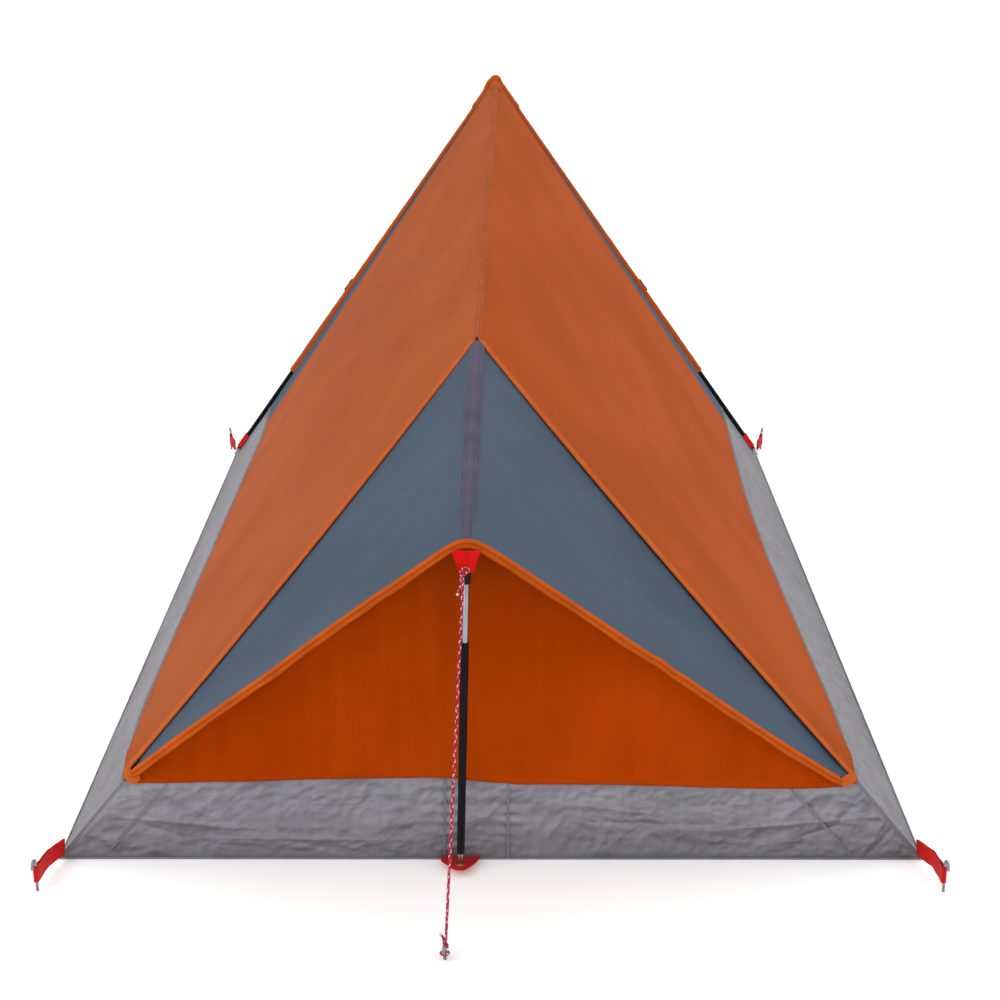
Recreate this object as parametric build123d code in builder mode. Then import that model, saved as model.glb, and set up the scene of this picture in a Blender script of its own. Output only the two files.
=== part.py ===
from build123d import *
from math import hypot
import os

# Small two-person ridge tent, pitched: a tall A-frame at the door end (+Y) and
# one short telescopic pole under the eave at the foot end (-Y).
# Millimetres. Origin on the ground at the centre of the groundsheet, +X to the
# right, +Y towards the door end, +Z up. "Left" is -X and "right" is +X throughout.

os.makedirs("parts", exist_ok=True)

# ---------------------------------------------------------------- dimensions
half_w = 1220.0 / 2         # groundsheet, half width
half_l = 1930.0 / 2         # groundsheet, half length
sheet = 1.2                 # thickness of a flat fabric sheet
drop = 2.0                  # vertical thickness of a sloping roof sheet
layer = 3.0                 # how far a lower roof layer sits under an upper one

band_h = 124.0              # height of the bathtub band
seam_rear = 508.0           # half width across the seam on top of the band, rear
seam_front = 519.0          # half width across the same seam, front

knee = Vector(-25, -365, 607)         # where the two-colour V meets on the ridge
eave = Vector(-31, -1001, 488)        # tip of the rear eave, over the pole
peak = Vector(0, 905, 869)            # front end of the ridge

leg_foot_x = 608.0          # half spread of the A-frame feet
leg_foot_y = 966.0
leg_foot_z = 4.0
leg_top = Vector(0, 928, 865)         # where the two leg axes meet
leg_outer_r = 5.5
leg_inner_r = 4.7
leg_split = 531.0           # where the lower section ends, from the foot point
cap_r = 13.0                # rounded fabric cap over the hub

pole_foot = Vector(-42, -995, 0)      # rear pole, foot point on the ground
pole_head = Vector(-31, -998, 455)    # rear pole, top of its cap

webbing = 25.0              # webbing width
webbing_t = 1.5             # webbing thickness
peg_r = 2.0
cord_r = 2.0

UP = Vector(0, 0, 1)
SIDES = (("left", -1), ("right", 1))


# ------------------------------------------------------------------- helpers
def facet(*points):
    """A flat polygon through points that share one plane."""
    pts = [Vector(p) for p in points]
    along = (pts[1] - pts[0]).normalized()
    normal = (pts[1] - pts[0]).cross(pts[2] - pts[0]).normalized()
    base = Plane(origin=pts[0], x_dir=along, z_dir=normal)
    with BuildSketch(base) as shape:
        with BuildLine():
            Polyline(*[base.to_local_coords(p) for p in pts], close=True)
        make_face()
    return shape.sketch


def shifted(point, x=0.0, y=0.0, z=0.0):
    return point + Vector(x, y, z)


def toward(start, end, distance):
    """The point at a distance from start on the way to end."""
    return start + (end - start).normalized() * distance


def trapezoid(first_half, first_y, second_half, second_y):
    """Corners of a symmetrical trapezoid: half width and height of each edge."""
    return [
        (-first_half, first_y),
        (first_half, first_y),
        (second_half, second_y),
        (-second_half, second_y),
    ]


def finish(builder, name):
    builder.part.label = name
    export_step(builder.part, f"parts/{name}.step")


def make_tube(name, plane, outer_r, inner_r, length):
    with BuildPart() as tube:
        with BuildSketch(plane):
            Circle(outer_r)
            Circle(inner_r, mode=Mode.SUBTRACT)
        extrude(amount=length)
    finish(tube, name)


def make_peg(name, foot, heading, depth, top, hook_r, tail):
    """Bent-wire peg at foot, its hook turned towards heading."""
    side_plane = Plane(origin=(foot.X, foot.Y, 0), x_dir=heading, z_dir=heading.cross(UP))
    tip = side_plane.from_local_coords(Vector(0, -depth, 0))
    with BuildPart() as peg:
        with BuildLine(side_plane):
            Line((0, -depth), (0, top))
            ThreePointArc((0, top), (hook_r, top + hook_r), (2 * hook_r, top))
            if tail:
                Line((2 * hook_r, top), (2 * hook_r, top - tail))
        with BuildSketch(Plane(origin=tip, x_dir=heading, z_dir=(0, 0, 1))):
            Circle(peg_r)
        sweep()
        chamfer(peg.edges().filter_by(GeomType.CIRCLE).sort_by(Axis.Z)[0], length=1.2)
    finish(peg, name)


# ------------------------------------------------------------- floor and band
# groundsheet: its underside is the face the tent stands on
with BuildPart() as groundsheet:
    with BuildSketch(Plane.XY):
        RectangleRounded(2 * half_w - 6, 2 * half_l - 6, 12)
    extrude(amount=sheet)
finish(groundsheet, "groundsheet")

# long sloping sides of the bathtub band, from the ground up to the seam
side_low_z = 4.2
side_top_z = band_h - 4
for side, s in SIDES:
    low_rear = (s * (half_w - 2), -half_l + 2, side_low_z)
    low_front = (s * (half_w - 2), half_l - 8, side_low_z)
    top_front = (s * (seam_front + 1), half_l - 18, side_top_z)
    top_rear = (s * (seam_rear + 2), -half_l + 3.5, side_top_z)
    with BuildPart() as band_side:
        extrude(facet(low_rear, low_front, top_front), amount=drop, dir=(0, 0, -1))
        extrude(facet(low_rear, top_front, top_rear), amount=drop, dir=(0, 0, -1))
    finish(band_side, f"band_{side}")

# rear side of the band: upright, wide at the ground and narrower at the seam
rear_outline = trapezoid(half_w - 4, 2.0, seam_rear - 2, band_h - 7)
with BuildPart() as band_rear:
    extrude(facet(*[(x, -half_l, z) for x, z in rear_outline]), amount=sheet, dir=(0, 1, 0))
finish(band_rear, "band_rear")

# ---------------------------------------------------------------- roof sheets
ridge_half_gap = 1.5        # each side's sheets stop this far from the ridge line

for side, s in SIDES:
    rear_corner = Vector(s * seam_rear, -half_l + 1.5, band_h)
    front_corner = Vector(s * (seam_rear + 5), 812, band_h)
    side_knee = shifted(knee, x=s * ridge_half_gap)
    side_peak = shifted(peak, x=s * ridge_half_gap)
    side_eave = shifted(eave, x=s * ridge_half_gap, y=2)

    # orange side panel, ridge to seam
    with BuildPart() as side_panel:
        extrude(facet(rear_corner, side_knee, side_peak), amount=drop, dir=(0, 0, -1))
        extrude(facet(rear_corner, side_peak, front_corner), amount=drop, dir=(0, 0, -1))
    finish(side_panel, f"side_panel_{side}")

    # blue-grey rear roof triangle, one layer lower
    rear_triangle = (
        shifted(rear_corner, x=-s * 3, z=-layer),
        shifted(side_knee, z=-layer),
        shifted(side_eave, z=-layer),
    )
    with BuildPart() as rear_roof:
        extrude(facet(*rear_triangle), amount=drop, dir=(0, 0, -1))
    finish(rear_roof, f"rear_roof_{side}")

    # blue-grey front roof triangle beside the pole sleeve
    front_triangle = (
        shifted(front_corner, y=8, z=-1.5),
        shifted(side_peak, x=s * 10, z=-layer - 12),
        (s * (seam_front + 2), half_l - 21, band_h - 1.5),
    )
    with BuildPart() as front_roof:
        extrude(facet(*front_triangle), amount=drop, dir=(0, 0, -1))
    finish(front_roof, f"front_roof_{side}")

# upright orange rear wall under the eave
wall_y = -half_l + 4
wall_half = seam_rear - 22
wall_low = band_h - 4
wall_outline = (
    (-wall_half, wall_y, wall_low),
    (wall_half, wall_y, wall_low),
    (eave.X, wall_y, eave.Z - 20),
)
with BuildPart() as rear_wall:
    extrude(facet(*wall_outline), amount=sheet, dir=(0, 1, 0))
finish(rear_wall, "rear_wall")

# folded binding that hangs from the rear eave, deeper at the tip than at the corners
binding_tip = shifted(eave, y=-3, z=-2)
with BuildPart() as eave_binding:
    for s in (-1, 1):
        corner = Vector(s * (seam_rear - 4), -half_l - 3.5, band_h + 4)
        extrude(
            facet(binding_tip, corner, shifted(corner, z=-10), shifted(binding_tip, z=-13)),
            amount=2.0,
            dir=(0, -1, 0),
        )
finish(eave_binding, "eave_binding")

# reinforcing tape that backs the ridge seam and stops short of the eave tip
tape_half = 3.0
tape_peak, tape_knee, tape_eave = [shifted(p, z=-9) for p in (peak, knee, eave)]
tape_end = toward(tape_eave, tape_knee, 14)
with BuildPart() as ridge_tape:
    for start, end in ((tape_peak, tape_knee), (tape_knee, tape_end)):
        extrude(
            facet(
                shifted(start, x=-tape_half),
                shifted(end, x=-tape_half),
                shifted(end, x=tape_half),
                shifted(start, x=tape_half),
            ),
            amount=1.4,
            dir=(0, 0, -1),
        )
finish(ridge_tape, "ridge_tape")

# ------------------------------------------------------------ A-frame geometry
# The A-frame leans back slightly. Its plane holds both leg axes; local x runs
# to the left (-X), local y runs up the plane and local z points out of the door.
frame_rise = Vector(0, leg_top.Y - leg_foot_y, leg_top.Z - leg_foot_z)
frame_h = frame_rise.length
frame_up = frame_rise.normalized()
frame_out = Vector(0, frame_up.Z, -frame_up.Y)
frame_plane = Plane(
    origin=(0, leg_foot_y, leg_foot_z), x_dir=(-1, 0, 0), z_dir=frame_out
)
leg_length = hypot(leg_foot_x, frame_h)


def leg_plane(s, at):
    """Plane square to a leg axis, at a distance up from its foot point."""
    foot = Vector(s * leg_foot_x, leg_foot_y, leg_foot_z)
    run = (leg_top - foot).normalized()
    return Plane(origin=foot + run * at, x_dir=frame_out, z_dir=run)


def leg_half(v):
    """Half width between the leg axes, at a height v up the frame plane."""
    return leg_foot_x * (1 - v / frame_h)


# ----------------------------------------------------------------------- legs
lower_start = 16.0          # distances up the leg from its foot point
pocket_start = 20.0
cord_start = 36.0
sleeve_start = 246.0
toggle_at = 470.0
upper_gap = 26.0            # distances back from the meeting point of the axes
cord_gap = 32.0
sleeve_gap = 74.0
ferrule_reach = 42.0        # length of a ferrule in each leg section

pocket_r = 7.6
for side, s in SIDES:
    # lower and upper tubes of one leg, butted together over a ferrule
    make_tube(
        f"leg_{side}_lower", leg_plane(s, lower_start),
        leg_outer_r, leg_inner_r, leg_split - lower_start,
    )
    make_tube(
        f"leg_{side}_upper", leg_plane(s, leg_split + 0.3),
        leg_outer_r, leg_inner_r, leg_length - upper_gap - leg_split,
    )
    # fabric sleeve the leg slides into, open at both ends
    make_tube(
        f"pole_sleeve_{side}", leg_plane(s, sleeve_start),
        8.5, 7.3, leg_length - sleeve_gap - sleeve_start,
    )
    # webbing pocket around the leg just above its foot
    make_tube(
        f"foot_pocket_{side}", leg_plane(s, pocket_start),
        pocket_r, pocket_r - webbing_t, webbing + 12,
    )

# one ferrule per leg, across the joint between its two tubes
with BuildPart() as leg_ferrules:
    for _, s in SIDES:
        with BuildSketch(leg_plane(s, leg_split - ferrule_reach)):
            Circle(4.6)
            Circle(3.7, mode=Mode.SUBTRACT)
        extrude(amount=2 * ferrule_reach)
finish(leg_ferrules, "leg_ferrules")

# elastic cord in each leg that keeps its sections together
with BuildPart() as shock_cords:
    for _, s in SIDES:
        with BuildSketch(leg_plane(s, cord_start)):
            Circle(1.5)
        extrude(amount=leg_length - cord_start - cord_gap)
finish(shock_cords, "shock_cords")

# turned foot of each leg: thin peg, collar, then a plug inside the tube
# columns: radius, distance up the leg from its foot point
tip_profile = (
    (0, -4), (2.0, -4), (2.6, 2), (2.6, 10),
    (5.4, 11), (5.4, 15.7), (4.6, 15.7), (4.6, 32), (0, 34),
)
with BuildPart() as leg_tips:
    for _, s in SIDES:
        at = leg_plane(s, 0)
        axial = Plane(origin=at.origin, x_dir=frame_out, z_dir=frame_out.cross(at.z_dir))
        with BuildSketch(axial) as profile:
            with BuildLine():
                Polyline(*tip_profile, close=True)
            make_face()
        revolve(profile.sketch, axis=Axis(at.origin, at.z_dir))
finish(leg_tips, "leg_tips")

# toggle on the front of each sleeve that holds the door flap when it is rolled back
with BuildPart() as door_toggles:
    for _, s in SIDES:
        at = leg_plane(s, toggle_at)
        outward = at.z_dir.cross(frame_out)
        if outward.Z < 0:
            outward = outward * -1
        low_end = at.origin + outward * 7 + frame_out * 12.2
        with BuildSketch(Plane(origin=low_end, x_dir=frame_out, z_dir=at.z_dir)):
            Circle(3.5)
        extrude(amount=32)
    chamfer(door_toggles.edges().filter_by(GeomType.CIRCLE), length=1.0)
finish(door_toggles, "door_toggles")

# ----------------------------------------------------------------------- peak
# moulded elbow that holds the two legs apart: a ball with two sockets
hub_r = 7.6
hub_reach = 62.0            # mouth of a socket, back from the meeting point
hub_solid = 23.0            # floor of a socket, back from the same point
with BuildPart() as peak_hub:
    with Locations(Location(leg_top, (90, 0, 0))):
        Sphere(10.0)
    for s in (-1, 1):
        with BuildSketch(leg_plane(s, leg_length - hub_reach)):
            Circle(hub_r)
            Circle(leg_outer_r + 0.06, mode=Mode.SUBTRACT)
        extrude(amount=hub_reach - hub_solid)
        with BuildSketch(leg_plane(s, leg_length - hub_solid)):
            Circle(hub_r)
        extrude(amount=hub_solid - 2)
finish(peak_hub, "peak_hub")

# reinforced fabric cap that closes the two sleeves over the hub
cap_reach = 72.0
cap_cut = cap_reach + 2
with BuildPart() as peak_cap:
    for s in (-1, 1):
        with BuildSketch(leg_plane(s, leg_length - cap_reach)):
            Circle(10.8)
        extrude(amount=cap_reach)
    with Locations(Location(leg_top)):
        Sphere(cap_r)
    for s in (-1, 1):
        with BuildSketch(leg_plane(s, leg_length - cap_cut)):
            Circle(9.5)
        extrude(amount=cap_cut, mode=Mode.SUBTRACT)
    with Locations(Location(leg_top)):
        Sphere(cap_r - 1.5, mode=Mode.SUBTRACT)
finish(peak_cap, "peak_cap")

# fixed gusset between the legs, above the doors
gusset_low = 768.0
gusset_high = 826.0
gusset_inset = 15.5
with BuildPart() as front_gusset:
    with BuildSketch(frame_plane.offset(2.0)):
        with BuildLine():
            Polyline(
                *trapezoid(
                    leg_half(gusset_low) - gusset_inset, gusset_low,
                    leg_half(gusset_high) - gusset_inset, gusset_high,
                ),
                close=True,
            )
        make_face()
    extrude(amount=sheet)
finish(front_gusset, "front_gusset")

# front side of the band: the sill under the doors
with BuildPart() as band_front:
    with BuildSketch(frame_plane.offset(-1.0)):
        with BuildLine():
            Polyline(*trapezoid(593, 0, 514, 117), close=True)
        make_face()
    extrude(amount=sheet)
finish(band_front, "band_front")

# ---------------------------------------------------------------------- doors
# Local frame-plane coordinates: u to the left, v up, measured from frame_plane.
door_out = 10.0             # door sheet stands this far in front of the leg plane
door_low = 45.0
door_high = 790.0
door_inset = 15.0           # outer edge of the sheet, square in from the leg axis
window_u, window_low, window_high, window_inset = 34.0, 500.0, 690.0, 48.0
mesh_lap = 12.0             # mesh overlap above, below and on the leg side
mesh_lap_inner = 10.0       # mesh overlap beside the zip


def door_outline(mirror, inner_u, low, high, inset):
    """Corners between an upright inner edge and a line inset from the leg axis."""
    def outer_u(v):
        return leg_half(v) - inset * leg_length / frame_h

    return [
        (mirror * inner_u, low),
        (mirror * outer_u(low), low),
        (mirror * outer_u(high), high),
        (mirror * inner_u, high),
    ]


# columns: side, sign of u, start of the zip above the foot of the door;
# the right-hand coil starts above the parked slider
for side, mirror, zip_start in (("left", 1, 5), ("right", -1, 38)):
    panel_outline = door_outline(mirror, 8, door_low, door_high, door_inset)
    window_outline = door_outline(mirror, window_u, window_low, window_high, window_inset)
    mesh_outline = door_outline(
        mirror, window_u - mesh_lap_inner,
        window_low - mesh_lap, window_high + mesh_lap, window_inset - mesh_lap,
    )

    with BuildPart() as door_panel:
        with BuildSketch(frame_plane.offset(door_out)):
            with BuildLine():
                Polyline(*panel_outline, close=True)
            make_face()
            # opening for the insect-mesh window
            with BuildLine():
                Polyline(*window_outline, close=True)
            make_face(mode=Mode.SUBTRACT)
        extrude(amount=sheet)
    finish(door_panel, f"door_{side}_panel")

    with BuildPart() as door_mesh:
        with BuildSketch(frame_plane.offset(door_out - 1.4)):
            with BuildLine():
                Polyline(*mesh_outline, close=True)
            make_face()
        extrude(amount=0.8)
    finish(door_mesh, f"door_{side}_mesh")

    # zip tape with its coil
    zip_low = door_low + zip_start
    zip_high = door_high - 5
    coil_foot = frame_plane.from_local_coords(Vector(mirror * 2.9, zip_low, door_out + 2.1))
    with BuildPart() as zip_tape:
        with BuildSketch(frame_plane.offset(door_out + 1.7)):
            with Locations((mirror * 11.5, (zip_low + zip_high) / 2)):
                Rectangle(17, zip_high - zip_low)
        extrude(amount=0.8)
        with BuildSketch(Plane(origin=coil_foot, x_dir=(1, 0, 0), z_dir=frame_up)):
            Circle(1.4)
        extrude(amount=zip_high - zip_low)
    finish(zip_tape, f"zip_tape_{side}")

# ----------------------------------------------------------------- zip slider
slider_v = door_low + 20    # parked at the foot of the left-hand coil
slider_half_h = 10.0
slider_half_w = 6.6
slider_low_half_w = 4.6
pin_half = 3.6
pull_half = 2.4
slider_outline = (
    (-slider_half_w, slider_v + slider_half_h),
    (slider_half_w, slider_v + slider_half_h),
    (slider_half_w, slider_v),
    (slider_low_half_w, slider_v - slider_half_h),
    (-slider_low_half_w, slider_v - slider_half_h),
    (-slider_half_w, slider_v),
)


def pin_plane(reach):
    """Plane square to the slider's pin, at a reach to the left of its middle."""
    origin = frame_plane.from_local_coords(Vector(reach, slider_v, door_out + 7.6))
    return Plane(origin=origin, x_dir=frame_out, z_dir=(1, 0, 0))


with BuildPart() as zip_slider:
    # back and front plates
    for plate_out in (door_out - 0.8, door_out + 3.9):
        with BuildSketch(frame_plane.offset(plate_out)):
            with BuildLine():
                Polyline(*slider_outline, close=True)
            make_face()
        extrude(amount=1.2)
    # wedge between the two coils
    with BuildSketch(frame_plane.offset(door_out - 0.2)):
        with Locations((0, slider_v + 4)):
            Rectangle(2.2, 9)
    extrude(amount=4.6)
    # ears and pin that carry the pull
    for u in (-3.4, 3.4):
        with BuildSketch(frame_plane.offset(door_out + 5.0)):
            with Locations((u, slider_v)):
                Rectangle(1.2, 5)
        extrude(amount=4.0)
    with BuildSketch(pin_plane(pin_half)):
        Circle(0.9)
    extrude(amount=2 * pin_half)
finish(zip_slider, "zip_slider")

# pull tab hanging from the slider's pin, with a hole near its lower end
bore_half = 3.0
with BuildPart() as zip_pull:
    with BuildSketch(pin_plane(pull_half)):
        Circle(1.9)
    extrude(amount=2 * pull_half)
    with BuildSketch(frame_plane.offset(door_out + 7.0)):
        with Locations((0, slider_v - 13.5)):
            RectangleRounded(4.8, 26, 2.0)
    extrude(amount=1.2)
    with BuildSketch(frame_plane.offset(door_out + 6.0)):
        with Locations((0, slider_v - 22)):
            Circle(1.2)
    extrude(amount=3, mode=Mode.SUBTRACT)
    with BuildSketch(pin_plane(bore_half)):
        Circle(0.96)
    extrude(amount=2 * bore_half, mode=Mode.SUBTRACT)
finish(zip_pull, "zip_pull")

# ------------------------------------------------------------------ rear pole
pole_outer_r = 5.5
pole_inner_r = 4.8
inner_outer_r = 4.25        # inner, sliding tube
inner_inner_r = 3.55
pole_start = 27.0           # distances up the pole axis from its foot point
pole_top = 342.0            # top of the lower tube
cap_low = 429.0             # underside of the pole cap
pole_travel = 80.0          # how far the inner tube can drop
inner_start = pole_travel + 60
cap_grip = 14.0             # length of the inner tube inside the cap

lean = (pole_head - pole_foot).normalized()
across = Vector(0, 1, 0).cross(lean).normalized()


def pole_plane(at):
    """Plane square to the rear pole, at a distance up from its foot point."""
    return Plane(origin=pole_foot + lean * at, x_dir=across, z_dir=lean)


make_tube(
    "rear_pole_lower", pole_plane(pole_start),
    pole_outer_r, pole_inner_r, pole_top - pole_start,
)
make_tube(
    "rear_pole_inner", pole_plane(inner_start),
    inner_outer_r, inner_inner_r, cap_low + cap_grip - inner_start,
)

# plastic bush in the mouth of the lower tube, a running fit on the inner tube
with BuildPart() as rear_pole_bush:
    with BuildSketch(pole_plane(pole_top - 24)):
        Circle(pole_inner_r - 0.05)
    extrude(amount=24.4)
    with BuildSketch(pole_plane(pole_top + 0.3)):
        Circle(pole_outer_r + 0.2)
    extrude(amount=2.2)
    with BuildSketch(pole_plane(pole_top - 30)):
        Circle(inner_outer_r + 0.05)
    extrude(amount=60, mode=Mode.SUBTRACT)
finish(rear_pole_bush, "rear_pole_bush")

with BuildPart() as rear_pole_cap:
    with BuildSketch(pole_plane(cap_low)):
        Circle(6.0)
    extrude(amount=25)
    fillet(rear_pole_cap.edges().sort_by(Axis.Z)[-1], radius=3.0)
    with BuildSketch(pole_plane(cap_low - 1)):
        Circle(inner_outer_r + 0.03)
    extrude(amount=cap_grip + 2, mode=Mode.SUBTRACT)
finish(rear_pole_cap, "rear_pole_cap")

# turned spike: a point that stands in the ground, taper, then a plug in the tube
# columns: radius, distance up the pole from its foot point
spike_profile = (
    (0, -9), (1.2, -8), (2.3, 4), (3.0, 12),
    (3.6, 26.5), (4.7, 27.5), (4.7, 50), (0, 52),
)
with BuildPart() as rear_pole_spike:
    with BuildSketch(Plane(origin=pole_foot, x_dir=across, z_dir=across.cross(lean))):
        with BuildLine():
            Polyline(*spike_profile, close=True)
        make_face()
    revolve(axis=Axis(pole_foot, lean))
finish(rear_pole_spike, "rear_pole_spike")

# ------------------------------------------------------------------ rear tabs
eyelet_proud = 0.4          # how far an eyelet stands out of each face of its tab
eyelet_t = webbing_t + 2 * eyelet_proud

# foot tab: a folded piece that runs out from under the band to the pole's spike
foot_tab_plane = Plane(
    origin=(-42, -half_l - 4, 3.2), x_dir=(1, 0, 0), z_dir=Vector(0, 0.18, 1).normalized()
)
foot_tab_outline = ((-27, 0), (27, 0), (9, -42), (-9, -42), (-25, -14))
foot_eyelet_at = foot_tab_plane.to_local_coords(toward(pole_foot, pole_head, 8))
with BuildPart() as rear_foot_tab:
    with BuildSketch(foot_tab_plane):
        with BuildLine():
            Polyline(*foot_tab_outline, close=True)
        make_face()
        fillet(vertices().group_by(Axis.Y)[0], radius=4)
        with Locations(foot_eyelet_at):
            Circle(6.4, mode=Mode.SUBTRACT)
    extrude(amount=webbing_t)
finish(rear_foot_tab, "rear_foot_tab")

with BuildPart() as rear_foot_eyelet:
    with BuildSketch(foot_tab_plane.offset(-eyelet_proud)):
        with Locations(foot_eyelet_at):
            Circle(6.2)
            Circle(3.4, mode=Mode.SUBTRACT)
    extrude(amount=eyelet_t)
finish(rear_foot_eyelet, "rear_foot_eyelet")

# top tab: short trapezoid that hangs from the eave on the -Y side of the pole cap
top_tab_plane = Plane(origin=(eave.X, eave.Y - 7, 0), x_dir=(1, 0, 0), z_dir=(0, -1, 0))
top_eyelet_z = 452.0
with BuildPart() as rear_top_tab:
    with BuildSketch(top_tab_plane):
        with BuildLine():
            Polyline(*trapezoid(20, 474, 9, 442), close=True)
        make_face()
        with Locations((0, top_eyelet_z)):
            Circle(4.6, mode=Mode.SUBTRACT)
    extrude(amount=webbing_t)
finish(rear_top_tab, "rear_top_tab")

with BuildPart() as rear_top_eyelet:
    with BuildSketch(top_tab_plane.offset(-eyelet_proud)):
        with Locations((0, top_eyelet_z)):
            Circle(4.4)
            Circle(2.6, mode=Mode.SUBTRACT)
    extrude(amount=eyelet_t)
finish(rear_top_eyelet, "rear_top_eyelet")

# --------------------------------------------------------------- corner loops
# webbing on edge, doubled back around a peg
loop_low = 13.0
loop_start = 12.0           # near end of a loop, out from the groundsheet corner
loop_w = 8.0

# columns: end, sign of y, sideways splay per unit of y, far end of the loop
for end, y_sign, splay, reach in (("rear", -1, 0.10, 92.0), ("front", 1, 0.3, 54.0)):
    for side, s in SIDES:
        heading = Vector(s * splay, y_sign, 0).normalized()
        base = Plane(
            origin=(s * half_w, y_sign * half_l, loop_low), x_dir=heading, z_dir=(0, 0, 1)
        )
        length = reach - loop_start
        with BuildPart() as corner_loop:
            with BuildSketch(base):
                with Locations(((loop_start + reach) / 2, 0)):
                    SlotOverall(length, loop_w)
                    SlotOverall(
                        length - 2 * webbing_t, loop_w - 2 * webbing_t, mode=Mode.SUBTRACT
                    )
            extrude(amount=webbing)
        finish(corner_loop, f"corner_loop_{end}_{side}")

        make_peg(
            f"peg_{end}_{side}", base.origin + heading * (reach - loop_w / 2), heading,
            depth=118, top=loop_low + webbing + 4, hook_r=7, tail=3,
        )

# ----------------------------------------------------------------- guy lines
# webbing loop on the front of the peak cap, for the door-end guy line
peak_loop_start = shifted(leg_top, y=cap_r + 1.5, z=-3)
peak_loop_w = 10.0
loop_corner = shifted(peak_loop_start, x=-peak_loop_w / 2, y=11)
with BuildPart() as peak_loop:
    with BuildSketch(Plane(origin=loop_corner, x_dir=(0, 1, 0), z_dir=(1, 0, 0))):
        SlotOverall(21, 9)
        SlotOverall(21 - 2 * webbing_t, 9 - 2 * webbing_t, mode=Mode.SUBTRACT)
    extrude(amount=peak_loop_w)
finish(peak_loop, "peak_loop")

eye_r = 5.2                 # centre-line radius of the eye around a peg
eye_z = 9.0
rear_top = Vector(eave.X - 1, eave.Y - 16.5, 449)
front_ring = shifted(peak_loop_start, y=20.7)
front_top = shifted(front_ring, y=12, z=-2)

# columns: end, top of the line, centre of its eye on the peg
for end, top, foot in (
    ("rear", rear_top, Vector(-57, -1226, eye_z)),
    ("front", front_top, Vector(0, 1570, eye_z)),
):
    flat = Vector(foot.X - top.X, foot.Y - top.Y, 0).normalized()
    run = foot - flat * eye_r - top
    with BuildPart() as guy_line:
        with BuildSketch(Plane(origin=top, x_dir=(1, 0, 0), z_dir=run.normalized())):
            Circle(cord_r)
        extrude(amount=run.length)
        # knot at the top and eye around the peg
        with Locations(Location(top)):
            Sphere(4.6)
        with Locations(Location(foot)):
            Torus(eye_r, cord_r)
        # ring at the peak loop
        if end == "front":
            with Locations(Location(front_ring)):
                Torus(8.0, 1.5)
    finish(guy_line, f"{end}_guy_line")

    make_peg(f"peg_{end}_guy", foot, flat, depth=150, top=15, hook_r=6, tail=0)
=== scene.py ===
import math

import bmesh
import bpy
import numpy as np
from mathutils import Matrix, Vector


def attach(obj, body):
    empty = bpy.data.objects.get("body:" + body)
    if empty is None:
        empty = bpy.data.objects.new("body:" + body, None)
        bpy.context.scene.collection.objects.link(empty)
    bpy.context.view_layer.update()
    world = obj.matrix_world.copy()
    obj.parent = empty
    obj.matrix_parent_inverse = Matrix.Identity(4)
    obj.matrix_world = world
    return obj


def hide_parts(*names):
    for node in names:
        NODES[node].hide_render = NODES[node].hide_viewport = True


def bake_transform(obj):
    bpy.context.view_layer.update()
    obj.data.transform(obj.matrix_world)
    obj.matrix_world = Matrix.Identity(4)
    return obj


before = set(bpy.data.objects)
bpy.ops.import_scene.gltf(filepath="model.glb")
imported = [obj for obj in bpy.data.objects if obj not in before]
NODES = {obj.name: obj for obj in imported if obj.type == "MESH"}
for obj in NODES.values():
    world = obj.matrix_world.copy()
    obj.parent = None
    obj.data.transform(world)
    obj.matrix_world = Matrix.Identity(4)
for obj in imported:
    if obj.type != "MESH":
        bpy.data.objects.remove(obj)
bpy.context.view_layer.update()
MM = 0.001
PI = math.pi


def vec(*parts):
    return np.array(parts, float)


# ---------------------------------------------------------- driving dimensions, mm
SIDES = (("left", -1), ("right", 1))
RIGHT, UP, REARWARD = vec(1, 0, 0), vec(0, 0, 1), vec(0, -1, 0)
WALL_AXES = (RIGHT, UP)

FLOOR_END = 965.0                    # half length of the floor
BAND_FOOT_X, BAND_TOP_X = 607.5, 509.0
V_POINT = vec(-25, -365, 607)        # where the two-colour V meets on the ridge
EAVE_TOP = vec(-31, -1001, 488)      # top of the rear eave, over the pole
EAVE_END = vec(511, -967.5, 124)     # right end of the eave; the left one mirrors it
RIDGE_FRONT = vec(0, 905, 869)
PANEL_FOOT = vec(508, -963.5, 124)   # rear foot corner of the right side panel
PANEL_LENGTH = 1775.5
FRAME_FOOT = vec(0, 966, 4)          # middle of the A-frame's foot line
FRAME_TOP = vec(0, 928, 865)
LEG_FOOT_X = 608

# Stitch rows: pitch, dash length, thread radius
HEM_ROW = (3.7, 2.6, 0.4)
CLOTH_ROW = (3.8, 2.6, 0.4)
FOLD_ROW = (3.6, 2.5, 0.36)
CENTRE_ROW = (3.4, 2.4, 0.5)
CAP_ROW = (3.6, 2.5, 0.4)
BAND_ROW = (4.0, 2.8, 0.42)
SEAM_ROW = (4.0, 2.8, 0.4)
LAP_ROW = (4.0, 2.8, 0.26)
WELT_ROW = (4.2, 2.9, 0.4)
ZIP_ROW = (3.8, 2.6, 0.38)
BOX_ROW = (2.6, 1.9, 0.34)
FOOT_TAB_ROW = (2.8, 2.0, 0.36)
TOP_TAB_ROW = (2.8, 2.0, 0.34)


# ---------------------------------------------------------------- small maths
def unit(v):
    v = np.asarray(v, float)
    return v / np.maximum(np.linalg.norm(v, axis=-1, keepdims=True), 1e-12)


def lerp(start, end, share):
    share = np.asarray(share, float)[..., None]
    return start * (1 - share) + end * share


def span(count):
    return np.linspace(0, 1, count)


def angles(count):
    return np.arange(count) * 2 * PI / count


def pack(*parts):
    """Columns of points or of flat coordinates, with scalars spread out to fit."""
    return np.stack(np.broadcast_arrays(*parts), -1)


def bow(t):
    """0 at both ends, 1 in the middle."""
    return 4 * t * (1 - t)


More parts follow.
